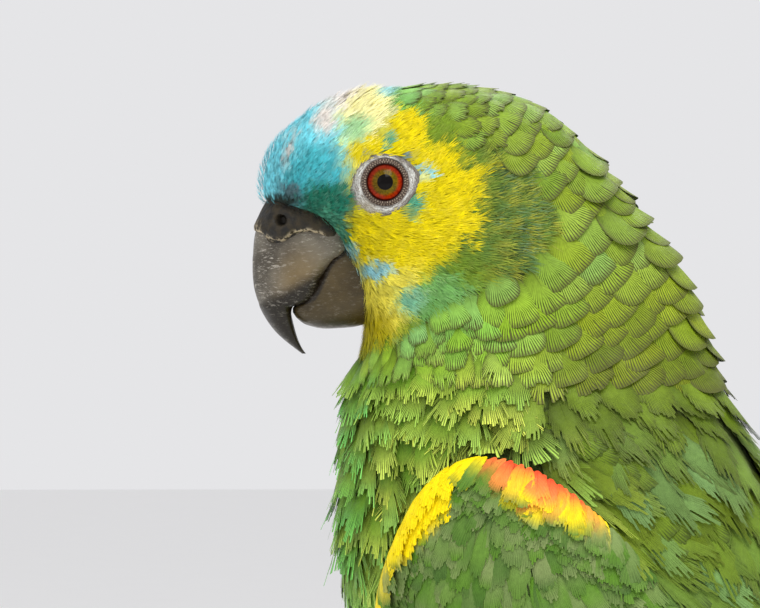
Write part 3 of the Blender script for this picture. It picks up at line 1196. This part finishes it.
CERE_SLICES = [
    (-60.5, 219.5, -48.0, 219.5, 5.9), (-61.8, 218.3, -46.5, 218.3, 6.9), (-63.4, 216.0, -45.0, 216.0, 8.0),
    (-64.9, 213.0, -43.5, 213.0, 8.9), (-66.0, 210.5, -43.0, 210.5, 9.25), (-66.5, 208.6, -43.2, 208.6, 9.2),
    (-66.7, 206.8, -44.0, 206.8, 9.0), (-66.6, 205.0, -45.0, 205.0, 8.6),
]
CERE_BORDER_BEHIND = (-67.0, -65.0, -63.6, -62.0, -60.0, -58.6, -57.6, -56.0, -53.5, -50.0, -47.6, -45.5)
CERE_BORDER_UP = (209.8, 209.4, 208.6, 207.6, 207.3, 207.7, 208.7, 209.4, 209.8, 209.0, 207.4, 205.6)
NOSTRIL = (-59.6, 212.2)  # behind and up


def smooth_keys(keys, at):
    """Values between keys along a smooth curve that doesn't overshoot them."""
    keys = np.array(keys, dtype=float)
    step = np.concatenate([[0], np.cumsum(np.linalg.norm(np.diff(keys[:, :4], axis=0), axis=1))])
    slope = np.diff(keys, axis=0) / np.diff(step)[:, None]
    before, after = slope[:-1], slope[1:]
    inner = np.where(after * before > 0, 2 * after * before / (after + before + 1e-12), 0)
    tangent = np.vstack([slope[:1], inner, slope[-1:]])
    at = np.asarray(at) * step[-1]
    i = np.clip(np.searchsorted(step, at, "right") - 1, 0, len(keys) - 2)
    h = (step[i + 1] - step[i])[:, None]
    t = ((at - step[i])[:, None]) / h
    return (keys[i] * (2 * t**3 - 3 * t**2 + 1) + tangent[i] * h * (t**3 - 2 * t**2 + t)
            + keys[i + 1] * (3 * t**2 - 2 * t**3) + tangent[i + 1] * h * (t**3 - t**2))


def head_slices(name, keys, share, front_fullness, back_fullness, steps, sides, material, push=None):
    """A closed shape lofted through slices of the head; `push` moves a surface point outwards, in mm."""
    placed = []
    for x1, z1, x2, z2, half in smooth_keys(keys, np.linspace(0, 1, steps)):
        middle_x, middle_z = (x1 + x2) / 2, (z1 + z2) / 2
        spots = []
        for a in np.linspace(0, 2 * math.pi, sides + 1)[:-1]:
            c, s = math.cos(a), math.sin(a)
            fullness = front_fullness if c < 0 else back_fullness
            t = share + math.copysign(abs(c) ** (2 / fullness), c) * (share if c < 0 else 1 - share)
            x, y, z = x1 + (x2 - x1) * t, math.copysign(abs(s) ** (2 / fullness), s) * half, z1 + (z2 - z1) * t
            if push:
                out = Vector((x - middle_x, y * 1.6, z - middle_z)).normalized() * push(x, z)
                x, y, z = x + out.x, y + out.y, z + out.z
            spots.append(place(x, y, z))
        placed.append(spots)
    ends = [[sum(spots, Vector()) / sides] for spots in (placed[0], placed[-1])]
    return round_piece(name, ends[:1] + placed + ends[1:], material)


def streaks_on(spot, turn, stretch, scale, detail, roughness):
    """Noise drawn out into streaks."""
    values = {"Vector": spot, "Rotation": turn, "Scale": (1.0, 1.0, stretch)}
    return noise(Wire(node(spot.tree, "ShaderNodeMapping", values)), scale, detail, roughness)


def horn_material(name, dull, bright):
    gloss = {"Specular_IOR_Level": 0.3, "Coat_Weight": 0.05, "Coat_Roughness": 0.3}
    material, tree, shader = new_material(name, (0.1, 0.09, 0.08), 0.45, **gloss)
    spot = object_spot(tree)
    cloud, fine = noise(spot, 90.0, 4.0), noise(spot, 700.0, 5.0)
    scuffs = streaks_on(spot, (0.3, 0.9, 0.2), 3.2, 520.0, 6.0, 0.75)
    scratches = streaks_on(spot, (0.5, -0.7, 0.9), 5.0, 700.0, 5.0, 0.8)
    worn, brown, dark = attribute(tree, "Wear", "Color").parts("Color")
    tone = mix(cloud.fade(0.35, 0.65), dull, bright)
    tone = mix(brown * 0.8, tone, srgb(112, 94, 60))
    tone = mix(dark * 0.95, tone, srgb(20, 13, 2))
    marks = scuffs.fade(0.55, 0.63).maths("MAXIMUM", scratches.fade(0.57, 0.64) * 0.7)
    flakes = (marks * worn).clamped()
    tone = mix(flakes * 0.8, tone, srgb(190, 184, 172))
    tone = mix(1.0, tone, mix(fine, (0.8, 0.8, 0.8), (1.15, 1.15, 1.15)), "MULTIPLY")
    height = scuffs * 0.8 + (cloud * 1.5 + flakes)
    feed(shader, tone, fine.fade(0.3, 0.7, 0.3, 0.48) + flakes * 0.2, height, 0.5, 0.12)
    return material


def own_head(point):
    """How far behind the neck's axis and how high a place on the head is, in its own millimetres."""
    x, y = (point[0] - neck_axis.x) / MM, (point[1] - neck_axis.y) / MM
    return x * math.cos(HEAD_TURN) + y * math.sin(HEAD_TURN), point[2] / MM


def cere_border(x):
    return float(np.interp(x, CERE_BORDER_BEHIND, CERE_BORDER_UP))


def cutting_edge(z):
    """How far behind the neck's axis the upper bill's cutting edge is at a height."""
    keys = UPPER_SLICES[::-1]
    return float(np.interp(z, [key[3] for key in keys], [key[2] for key in keys]))


# Where each part is scuffed or flaking, brown, and dark, at a place on the head.
def upper_zones(x, z):
    border = cere_border(x)
    worn = 0.12 + 0.23 * smooth_step(188, 195, z) + 0.65 * smooth_step(-58, -63, x) * smooth_step(190, 197, z)
    worn += 0.5 * smooth_step(border - 4.5, border - 0.5, z)
    tooth = smooth_step(9, 2, math.hypot(x + 54.5, (z - 196.5) * 0.7))
    brown = max(tooth, 0.8 * smooth_step(-1.6, -0.4, x - cutting_edge(z)) * (z > 192))
    hook = smooth_step(195.5, 191.6, z - 0.55 * (x + 62))
    dark = 1.05 * hook + 0.3 * smooth_step(-63, -66, x) * smooth_step(200, 194, z)
    return min(worn, 1.0), brown, dark


def lower_zones(x, z):
    dark = max(0.5 * smooth_step(190, 187, z), smooth_step(1.0, 0.4, x - cutting_edge(z)))
    return 0.15, 0.2 * smooth_step(192, 198, z), dark


def cere_zones(x, z):
    flaking = 0.9 * math.exp(-(((z - cere_border(x) - 0.1) / 0.45) ** 2))
    return flaking + 0.5 * smooth_step(-64, -65.5, x) * smooth_step(213, 211, z), 0, 0


def upper_push(x, z):
    return 0.12 * smooth_step(193.5, 192.5, z) * smooth_step(-58, -54, x)


def cere_push(x, z):
    """The cere swells round the nostril, which is a pit in it, and dives under the horn's edge at its border."""
    border = cere_border(x)
    from_nostril = math.dist((x, z), NOSTRIL)
    push = 0.45 * smooth_step(border, border + 1.6, z) - 1.3 * smooth_step(border + 0.25, border - 0.35, z)
    push += 0.5 * math.exp(-(((from_nostril - 2.5) / 1.0) ** 2)) - 2.2 * smooth_step(1.55, 0.7, from_nostril)
    return push


upper_horn = horn_material("upper_horn", srgb(66, 60, 50), srgb(112, 106, 94))
lower_horn = horn_material("lower_horn", srgb(46, 37, 16), srgb(70, 58, 30))
cere_paint, tree, shader = new_material("cere_skin", (0.03, 0.027, 0.02), 0.6, Specular_IOR_Level=0.35)
spot = object_spot(tree)
mottle, flake = noise(spot, 420.0, 5.0), noise(spot, 900.0, 4.0)
tone = mix(mottle.fade(0.35, 0.65), srgb(14, 11, 5), srgb(50, 42, 26))
flaking = attribute(tree, "Wear", "Color").parts("Color")[0] * flake.fade(0.46, 0.58)
tone = mix(flaking, tone, srgb(176, 162, 134))
feed(shader, tone, mottle.fade(0.3, 0.7, 0.5, 0.7), cells(spot, 1500.0) + mottle * 1.5, 0.6, 0.15)

upper_bill = head_slices("upper_bill", UPPER_SLICES, 0.62, 1.9, 3.6, 130, 112, upper_horn, upper_push)
lower_bill = head_slices("lower_bill", LOWER_SLICES, 0.48, 2.2, 2.9, 70, 80, lower_horn)
cere = head_slices("cere_swelling", CERE_SLICES, 0.52, 2.1, 2.5, 90, 180, cere_paint, cere_push)
for piece, zones, replaced, slot in (
    (upper_bill, upper_zones, "bill_upper", "horn"),
    (lower_bill, lower_zones, "bill_lower", "horn"),
    (cere, cere_zones, "cere", "cere"),
):
    wear = np.ones((len(piece.data.vertices), 4))
    wear[:, :3] = [zones(*own_head(vertex.co)) for vertex in piece.data.vertices]
    piece.data.color_attributes.new("Wear", "FLOAT_COLOR", "POINT").data.foreach_set("color", wear.ravel())
    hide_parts(replaced)

# ---------------------------------------------------------------------------
# Wings. The folded wing shows rows of small coverts down from its bend, then
# median and greater coverts, and the long secondaries and primaries. A yellow
# band edges the bend in front, and its top is red.
# Each point of the front edge: behind, up, and how far in the yellow and the red reach, in mm.
FRONT_EDGE = [
    (-29.0, 108.0, 0.0, 0.0), (-28.9, 123.6, 0.8, 0.0), (-26.8, 130.5, 1.0, 0.0), (-24.4, 135.8, 3.8, 0.0),
    (-18.4, 147.4, 10.2, 0.0), (-10.4, 153.8, 5.6, 0.0), (-2.6, 155.6, 2.6, 0.0), (3.0, 155.0, 5.6, 5.0),
    (10.4, 152.4, 8.0, 5.8), (18.2, 147.4, 7.6, 4.8), (25.4, 141.4, 3.2, 1.2), (29.8, 137.2, 0.0, 0.0),
    (35.0, 131.6, 0.0, 0.0),
]
BEND_CENTRE = (5.0, 118.0)
# Layers of feathers on the edge: how far in they root, how far off the middle, how high they lie.
BEND_LAYERS = ((0.0, 2.0, 2.4), (2.4, 0.0, 1.6), (-1.6, 3.0, 1.2), (4.6, 0.0, 1.0))
SMALL_COVERTS_END = 66.0
wing_run = run_of([((a + c) / 2, (b + d) / 2) for a, b, c, d in WING_LINE])
CHORDS = [math.dist(line[:2], line[2:]) for line in WING_LINE]


def from_side(x, z, side):
    """Where a line from the bird's side first meets its skin."""
    return skin_tree.ray_cast(place(x, side * 90, z, 0), direction(0, -side, 0), 0.09)[0]


def wing_point(run, across, side):
    """Where the wing's skin is, `run` mm along the folded wing and `across` it from its lower edge."""
    low_x, low_z, high_x, high_z = (float(np.interp(run, wing_run, [line[i] for line in WING_LINE])) for i in range(4))
    for _ in range(6):
        x, z = toward(low_x, high_x, across), toward(low_z, high_z, across)
        hit = from_side(x, z, side)
        if hit is not None and on_part(hit) == "wing":
            return x, z, hit
        across += 0.03 if across < 0.5 else -0.03
    return x, z, None


def wing_colour(x, z):
    nearest, reach_yellow, reach_red = 1e9, 0.0, 0.0
    for (x1, z1, yellow1, red1), (x2, z2, yellow2, red2) in zip(FRONT_EDGE, FRONT_EDGE[1:]):
        t = ((x - x1) * (x2 - x1) + (z - z1) * (z2 - z1)) / ((x2 - x1) ** 2 + (z2 - z1) ** 2)
        t = min(max(t, 0), 1)
        distance = math.dist((x, z), (x1 + (x2 - x1) * t, z1 + (z2 - z1) * t))
        if distance < nearest:
            nearest, reach_yellow, reach_red = distance, toward(yellow1, yellow2, t), toward(red1, red2, t)
    green = toward(WING_GREEN, WING_SHADE, draw.uniform(0, 1.0))
    green = toward(green, WING_GREY, draw.uniform(0, 1.0) ** 2)
    if reach_yellow < 0.5:
        return green
    colour = toward(green, BEND_YELLOW, smooth_step(reach_yellow + 0.8, reach_yellow - 0.8, nearest))
    if reach_red > 0.3:
        red = toward(BEND_RED, BEND_ORANGE, smooth_step(reach_red * 0.3, reach_red, nearest))
        colour = toward(colour, red, smooth_step(reach_red + 0.6, reach_red - 0.8, nearest))
    return colour


def wing_colours(x, z, angle, length, shares, astray):
    """The wing's colours at shares of a feather that heads off at an angle."""
    c, s = math.cos(math.radians(angle)), math.sin(math.radians(angle))
    colours = []
    for share in shares:
        there_x = x + c * length * share + draw.normal(0, astray)
        there_z = z + s * length * share + draw.normal(0, astray)
        colours.append(wing_colour(there_x, there_z))
    return colours


tints.data.foreach_get("color", shades.reshape(-1))
for vertex in skin.data.vertices:
    x, y, z = own_place(vertex.co)
    part = on_part(vertex.co)
    if part == "wing" and x < 40 and z > 100:
        shades[vertex.index, :3] = wing_colour(x, z) * 0.7
    elif part == "wing":
        shades[vertex.index, :3] = WING_GREEN * (1 - 0.75 * smooth_step(118, 130, x))
    elif part == "tail" and x > 150:
        shades[vertex.index, :3] = SCAPULAR_GREEN
tints.data.foreach_set("color", shades.ravel())


def flow_at(degrees):
    """A heading in the side plane: 0 is straight back, negative is down."""
    a = math.radians(degrees)
    return direction(math.cos(a), 0, math.sin(a)).normalized()


def small_coverts(plumage, side):
    run, row = 0.4, 0
    while run < SMALL_COVERTS_END:
        step = 3.6 + 0.8 * smooth_step(8, 40, run)
        count = max(int(float(np.interp(run, wing_run, CHORDS)) / (step * 0.85)), 4)
        for k in range(count + 1):
            across = (k + (0.5 if row % 2 else 0.0) + draw.uniform(-0.35, 0.35)) / count
            across = min(max(across, 0.0), 1.0)
            x, z, root = wing_point(run + draw.uniform(-1.0, 1.0), across, side)
            if root is None:
                continue
            angle = -98 - 14 * smooth_step(0.4, 0.9, across) * smooth_step(26, 8, run) + 60 * smooth_step(14, 64, run)
            angle += 10 * smooth_step(0.6, 0.1, across) * smooth_step(30, 60, run)
            angle += draw.normal(0, 8)
            length = step * draw.uniform(2.8, 4.0)
            colours = wing_colours(x, z, angle, length, (0.4, 0.65, 0.9), 0.7)
            bright = colours[1][0] > 0.5
            half_width = step * draw.uniform(0.55, 0.8)
            pattern = vane_pattern(13, 0.6 if bright else 0.4, 0.3)
            add_feather(plumage, root, flow_at(angle), length, half_width, pattern, colours,
                        (0.5 + side * (0.1 + run / 480), 0.3 + 0.5 * across), base=0.5, lift=draw.uniform(0.5, 1.0),
                        droop=0.2, tilt=draw.normal(0, 0.06), fringe=0.0 if bright else 0.08)
        run += step
        row += 1


def bend_feathers(plumage, side):
    """Small feathers that wrap the wing's front edge."""
    edge_run = run_of([key[:2] for key in FRONT_EDGE])
    for number in range(int(edge_run[-1] / 0.5)):
        gone = number * 0.5 + draw.uniform(-0.4, 0.4)
        x, z = (float(np.interp(gone, edge_run, [key[i] for key in FRONT_EDGE])) for i in range(2))
        inset, sunk, base = BEND_LAYERS[number % 4]
        to_x, to_z = BEND_CENTRE[0] - x, BEND_CENTRE[1] - z
        inward = Vector((to_x, to_z)).normalized() * inset
        inner = from_side(x + to_x * 0.12, z + to_z * 0.12, side)
        if inner is None:
            continue
        y = own_place(inner)[1] - side * sunk
        root = skin_tree.find_nearest(place(x + inward.x, y, z + inward.y, 0))[0]
        share = gone / edge_run[-1]
        angle = float(np.interp(share, (0, 0.3, 0.55, 0.8, 1.0), (-88, -100, -116, -96, -60))) + draw.normal(0, 6)
        length = draw.uniform(7.0, 10.0)
        colours = wing_colours(x + inward.x, z + inward.y, angle, length, (0.3, 0.6, 0.9), 0.5)
        heading = flow_at(angle) + direction(0, side, 0).normalized() * 0.5
        if number % 2 == 0:
            base += 1.2 * smooth_step(0.35, 0.1, share)
        add_feather(plumage, root, heading, length, draw.uniform(2.2, 3.0), vane_pattern(13, 0.6, 0.2), colours,
                    (0.5 + side * 0.1, 0.3 + 0.005 * gone), base=base, lift=0.5, droop=0.04,
                    tilt=draw.normal(0, 0.03), fringe=0.0)


def scapulars(plumage, side):
    """Feathers of the shoulder, that cover where the wing leaves the back."""
    runs = (0, 16, 34, 66)
    for off, reach, start in ((13.0, 16.0, 0), (9.5, 16.0, 0), (6.0, 15.0, 8), (2.5, 14.0, 26)):
        for gone in np.arange(draw.uniform(0, 3) + start, 66.0, 5.0):
            x = float(np.interp(gone, runs, (3.0, 17.0, 32.0, 58.0))) + off * 0.5 + draw.normal(0, 0.7)
            z = float(np.interp(gone, runs, (156.0, 148.5, 136.0, 111.5))) + off * 0.85 + draw.normal(0, 0.7)
            root = from_side(x, z, side)
            if root is None:
                continue
            shade = body_colour(x, z) * draw.uniform(0.7, 1.1)
            heading = flow_at(-24 - 14 * smooth_step(0, 30, gone) + draw.normal(0, 7))
            add_feather(plumage, root, heading, reach * draw.uniform(0.85, 1.15), draw.uniform(3.4, 4.6),
                        vane_pattern(13, 0.3, 0.1), (shade * 0.5, shade, shade * 0.95),
                        (0.5 + side * (0.1 + off / 480), 0.3 + gone / 200), base=0.7, lift=1.1, droop=0.25,
                        tilt=draw.normal(0, 0.06), fringe=0.5)


def median_and_greater_coverts(plumage, side):
    rows = ((66, 11, 21, 5.4, 0.1, 1.5), (74, 10, 24, 5.8, 0.1, 1.6), (84, 9, 31, 6.4, 0.12, 1.8))
    for start, count, length, half_width, low, lift in rows:
        for k in range(count):
            across = 1.0 - (1.0 - low) * k / (count - 1)
            root = wing_point(start + draw.uniform(-0.8, 0.8), across, side)[2]
            if root is None:
                continue
            shade = toward(WING_GREEN, WING_SHADE, draw.uniform(0, 0.7))
            heading = flow_at(-34 + 14 * (1 - across) + draw.normal(0, 2))
            add_feather(plumage, root, heading, length, half_width, vane_pattern(14, 0.0, 0.2),
                        (shade * 0.7, shade, shade * 0.85), (0.5 + side * (0.1 + start / 480), 0.3 + 0.5 * across),
                        base=1.0, lift=lift, droop=0.25, fringe=0.6, stiffness=0.3)


def quill(plumage, side, run, across, angle, length, half_width, outline, colours, off, **pose):
    """Lays one long feather, if its root is on the wing."""
    root = wing_point(run, across, side)[2]
    if root is not None:
        add_feather(plumage, root, flow_at(angle), length, half_width, vane_pattern(*outline), colours,
                    (0.5 + side * off, 0.3 + 0.5 * across), stiffness=0.4, **pose)


def quills(plumage, side):
    """Secondaries, the two rows behind them, and the primaries below."""
    for k in range(11):
        shade = toward(WING_GREEN, WING_SHADE, 0.2 + 0.06 * k)
        tip = toward(shade, srgb(20, 44, 66), smooth_step(3, 8, k))
        middle_tone = toward(shade, srgb(168, 40, 26), 0.55 if k in (7, 8, 9) else 0.0)
        quill(plumage, side, 98 - 0.5 * k, 0.98 - 0.086 * k, -30 + 1.8 * k, 40 + 22 * smooth_step(0, 4, k), 7.2,
              (18, 0.0, 0.1), (shade * 0.6, middle_tone, tip), 0.33, base=0.9 + 0.05 * (10 - k), lift=0.9,
              droop=0.2, fringe=0.6)
    for run, count in ((118, 7), (134, 6)):
        for k in range(count):
            shade = toward(WING_GREEN, WING_SHADE, 0.5) * draw.uniform(0.85, 1.05)
            tip = toward(shade, srgb(20, 40, 48), 0.3 + 0.6 * smooth_step(0, 3, k))
            quill(plumage, side, run, 0.97 - 0.1 * k, -30 + 2.0 * k, 50 - 1.5 * k, 6.4, (18, 0.0, 0.15),
                  (shade * 0.6, shade * 0.9, tip), 0.36, base=0.6 + 0.06 * (8 - k), lift=0.9, droop=0.2, fringe=0.5)
    for k in range(9):
        length = 104 - 7.0 * k if k < 6 else 62 - 8 * (k - 6)
        shade = WING_SHADE * (0.8 - 0.03 * k)
        quill(plumage, side, 92 + 2.4 * k, 0.34 - 0.03 * k, -13 + 0.8 * k, length, 5.0, (20, 0.0, 0.3),
              (shade, shade * 0.9, srgb(18, 26, 34)), 0.4, base=0.35 + 0.07 * (8 - k), lift=0.5, droop=0.15, fringe=0.3)


WING_FEATHER = feather_material("wing_feather", 12.0, 0.17, srgb(38, 44, 30))
for side, label in ((-1, "left"), (1, "right")):
    small, long_ones = Plumage(), Plumage()
    small_coverts(small, side)
    bend_feathers(small, side)
    scapulars(small, side)
    median_and_greater_coverts(long_ones, side)
    quills(long_ones, side)
    small.piece(f"wing_coverts_{label}", WING_FEATHER, "feather_wing")
    long_ones.piece(f"flight_feathers_{label}", WING_FEATHER, "feather_wing")

# ---------------------------------------------------------------------------
# Tail. Twelve broad feathers lie in a closed fan, the middle pair on top. They
# are green with paler yellow-green ends, and the outer ones are red near the base.
TAIL_FEATHER = feather_material("tail_feather", 12.0, 0.5, srgb(60, 70, 36))
TAIL_ROOT, TAIL_DROP = (145.0, 56.0), 35.5
TAIL_TOP_GREEN, TAIL_UNDER_GREEN, TAIL_RED = srgb(80, 128, 42), srgb(104, 134, 50), srgb(176, 52, 30)
TAIL_TIP, TAIL_UNDER_TIP = srgb(146, 172, 58), srgb(150, 166, 72)
tail = Plumage()
off_tail = flow_at(90 - TAIL_DROP)
sideways = direction(0, 1, 0).normalized()
for depth in (1.0, 0.75, 0.5, 0.25, 0.0):
    lie = -TAIL_DROP + 1.8 + 1.4 * depth
    along, outward = flow_at(lie), flow_at(lie + 90)
    start = 28.0 + 20.0 * depth
    green, tip = (TAIL_TOP_GREEN, TAIL_TIP) if depth < 0.5 else (TAIL_UNDER_GREEN, TAIL_UNDER_TIP)
    for k in range(6):
        off = 1.8 + 3.2 * k
        height = (0.26 * (5 - k) - 2.0) * (1 - depth) - (4.5 + 0.08 * k) * depth
        length = 92.0 - start - 0.5 * k - 9.0 * (off / 24.4) ** 3 - 4.0 * depth * (1 - depth)
        base_tone = TAIL_RED if k > 2 and depth > 0.6 else green * 0.7
        colours = base_tone, green * (1 - 0.08 * (k % 2)), tip * (1 - 0.1 * (k % 2))
        for side in (-1, 1):
            root = place(TAIL_ROOT[0], 0, TAIL_ROOT[1], 0) + flow_at(-TAIL_DROP) * (start * MM)
            root = root + sideways * (side * off * MM) + off_tail * (height * MM)
            add_feather(tail, root, along + sideways * (side * 0.012 * k), length, 6.6, vane_pattern(20, 0.0, 0.25),
                        colours, (0.45 + 0.01 * k * side, 0.9 + 0.04 * depth), base=0.2, lift=0.0, droop=0.12,
                        fringe=0.6, stiffness=1.0, plane=outward * (-1 if depth > 0.9 else 1))
tail.piece("tail_feathers", TAIL_FEATHER, "feather_tail")


# ---------------------------------------------------------------------------
# Thighs. Small soft feathers clothe each leg down to the ankle, and close the
# belly between them.
def on_thigh(point):
    x, _, z = own_place(point)
    return 22 < z < 66 and x < 46 and on_part(point) == "body"


legs = Plumage()
for root in scattered(3.6, on_thigh):
    x, y, z = own_place(root)
    if not spacing.accepts(root, 3.4):
        continue
    size = 1.7 + 2.9 * smooth_step(28, 60, z)
    main = marking(x, z) * draw.uniform(0.8, 1.15)
    add_feather(legs, root, direction(0.35, 0, -1), size * 2.5, size * 0.95, vane_pattern(14, 0.3, 0.3),
                (main * 0.6, main, main * 1.1), (0.2 + 0.1 * math.copysign(1, y) + x / 900, z / 90), base=0.3,
                lift=0.2 + 0.8 * smooth_step(30, 50, z), droop=0.3, tilt=draw.normal(0, 0.05), fringe=0.3,
                stiffness=0.7, steps=4)
legs.piece("leg_feathers", BODY_FEATHER, "feather_body")

# ---------------------------------------------------------------------------
# Feet and claws. Two toes point ahead and two back. Their grey skin is covered in
# rows of scutes on top and fine scales elsewhere, and each ends in a dark claw.
# Each toe: degrees outwards from straight ahead, and length.
TOES = {1: (206, 15), 2: (-16, 21), 3: (9, 31), 4: (157, 25)}
FOOT_BALL = (19.0, 21.0)
TOE_TOP, TOE_SCUTE, SHANK_SCUTE, SCUTE_RELIEF = 9, 1.9, 2.2, 0.13
scale_paint, tree, shader = new_material("scaly_skin", (0.2, 0.18, 0.17), 0.6, Specular_IOR_Level=0.35)
spot = object_spot(tree)
scale_edge, soil = cells(spot, 620.0, feature="DISTANCE_TO_EDGE"), noise(spot, 160.0, 4.0)
tone = mix(soil.fade(0.35, 0.65), srgb(104, 97, 90), srgb(150, 143, 134))
tone = mix(scale_edge.fade(0.14, 0.02), tone, srgb(66, 58, 52))
feed(shader, tone, soil.fade(0.3, 0.7, 0.5, 0.72), scale_edge.fade(0.0, 0.2), 0.7, 0.2)
claw_paint, tree, shader = new_material("claw_horn", (0.03, 0.027, 0.025), 0.35, Specular_IOR_Level=0.5)
growth = noise(object_spot(tree), 500.0, 4.0)
feed(shader, mix(growth.fade(0.35, 0.7), srgb(38, 34, 32), srgb(84, 76, 68)), growth.fade(0.3, 0.7, 0.28, 0.5))


def scutes(x, y, z, upward):
    """How the scutes rise and fall across the toes and up the shank, from -1 to 1."""
    if z >= TOE_TOP:
        return math.sin(z * 2 * math.pi / SHANK_SCUTE) * 0.8
    dx, dy = x - FOOT_BALL[0], y - FOOT_BALL[1]
    nearest, ridge = 1e9, 0.0
    for heading, length in TOES.values():
        c, s = math.cos(math.radians(heading)), math.sin(math.radians(heading))
        along, off = dx * -c + dy * s, abs(dx * s + dy * c)
        if 0 < along < length + 3 and off < nearest:
            nearest, ridge = off, math.sin(along * 2 * math.pi / TOE_SCUTE) * smooth_step(0.0, 0.5, upward)
    return ridge


def finish_copy(piece, paint, nodes):
    """Paints a reshaped copy of solids, keeps it above the floor and puts it in their place."""
    for vertex in piece.data.vertices:
        vertex.co.z = max(vertex.co.z, 0.0)
    piece.data.shade_smooth()
    piece.data.materials.clear()
    piece.data.materials.append(paint)
    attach(piece, "root")
    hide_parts(*nodes)


for side, label in ((-1, "left"), (1, "right")):
    foot = remeshed(merged_copy(f"scaly_foot_{label}", [f"foot_{label}"]), 0.45, 3)
    foot.data.shade_smooth()
    for vertex, outward in [(v, v.normal.copy()) for v in foot.data.vertices]:
        x, y, z = own_place(vertex.co)
        vertex.co += outward * (SCUTE_RELIEF * scutes(x, y * side, z, outward.z) * MM)
    finish_copy(foot, scale_paint, [f"foot_{label}"])
    names = [f"claw_{label}_{number}" for number in TOES]
    claws = merged_copy(f"claws_{label}", names)
    claws.modifiers.new("Subdivision", "SUBSURF").levels = 2
    finish_copy(applied(claws), claw_paint, names)
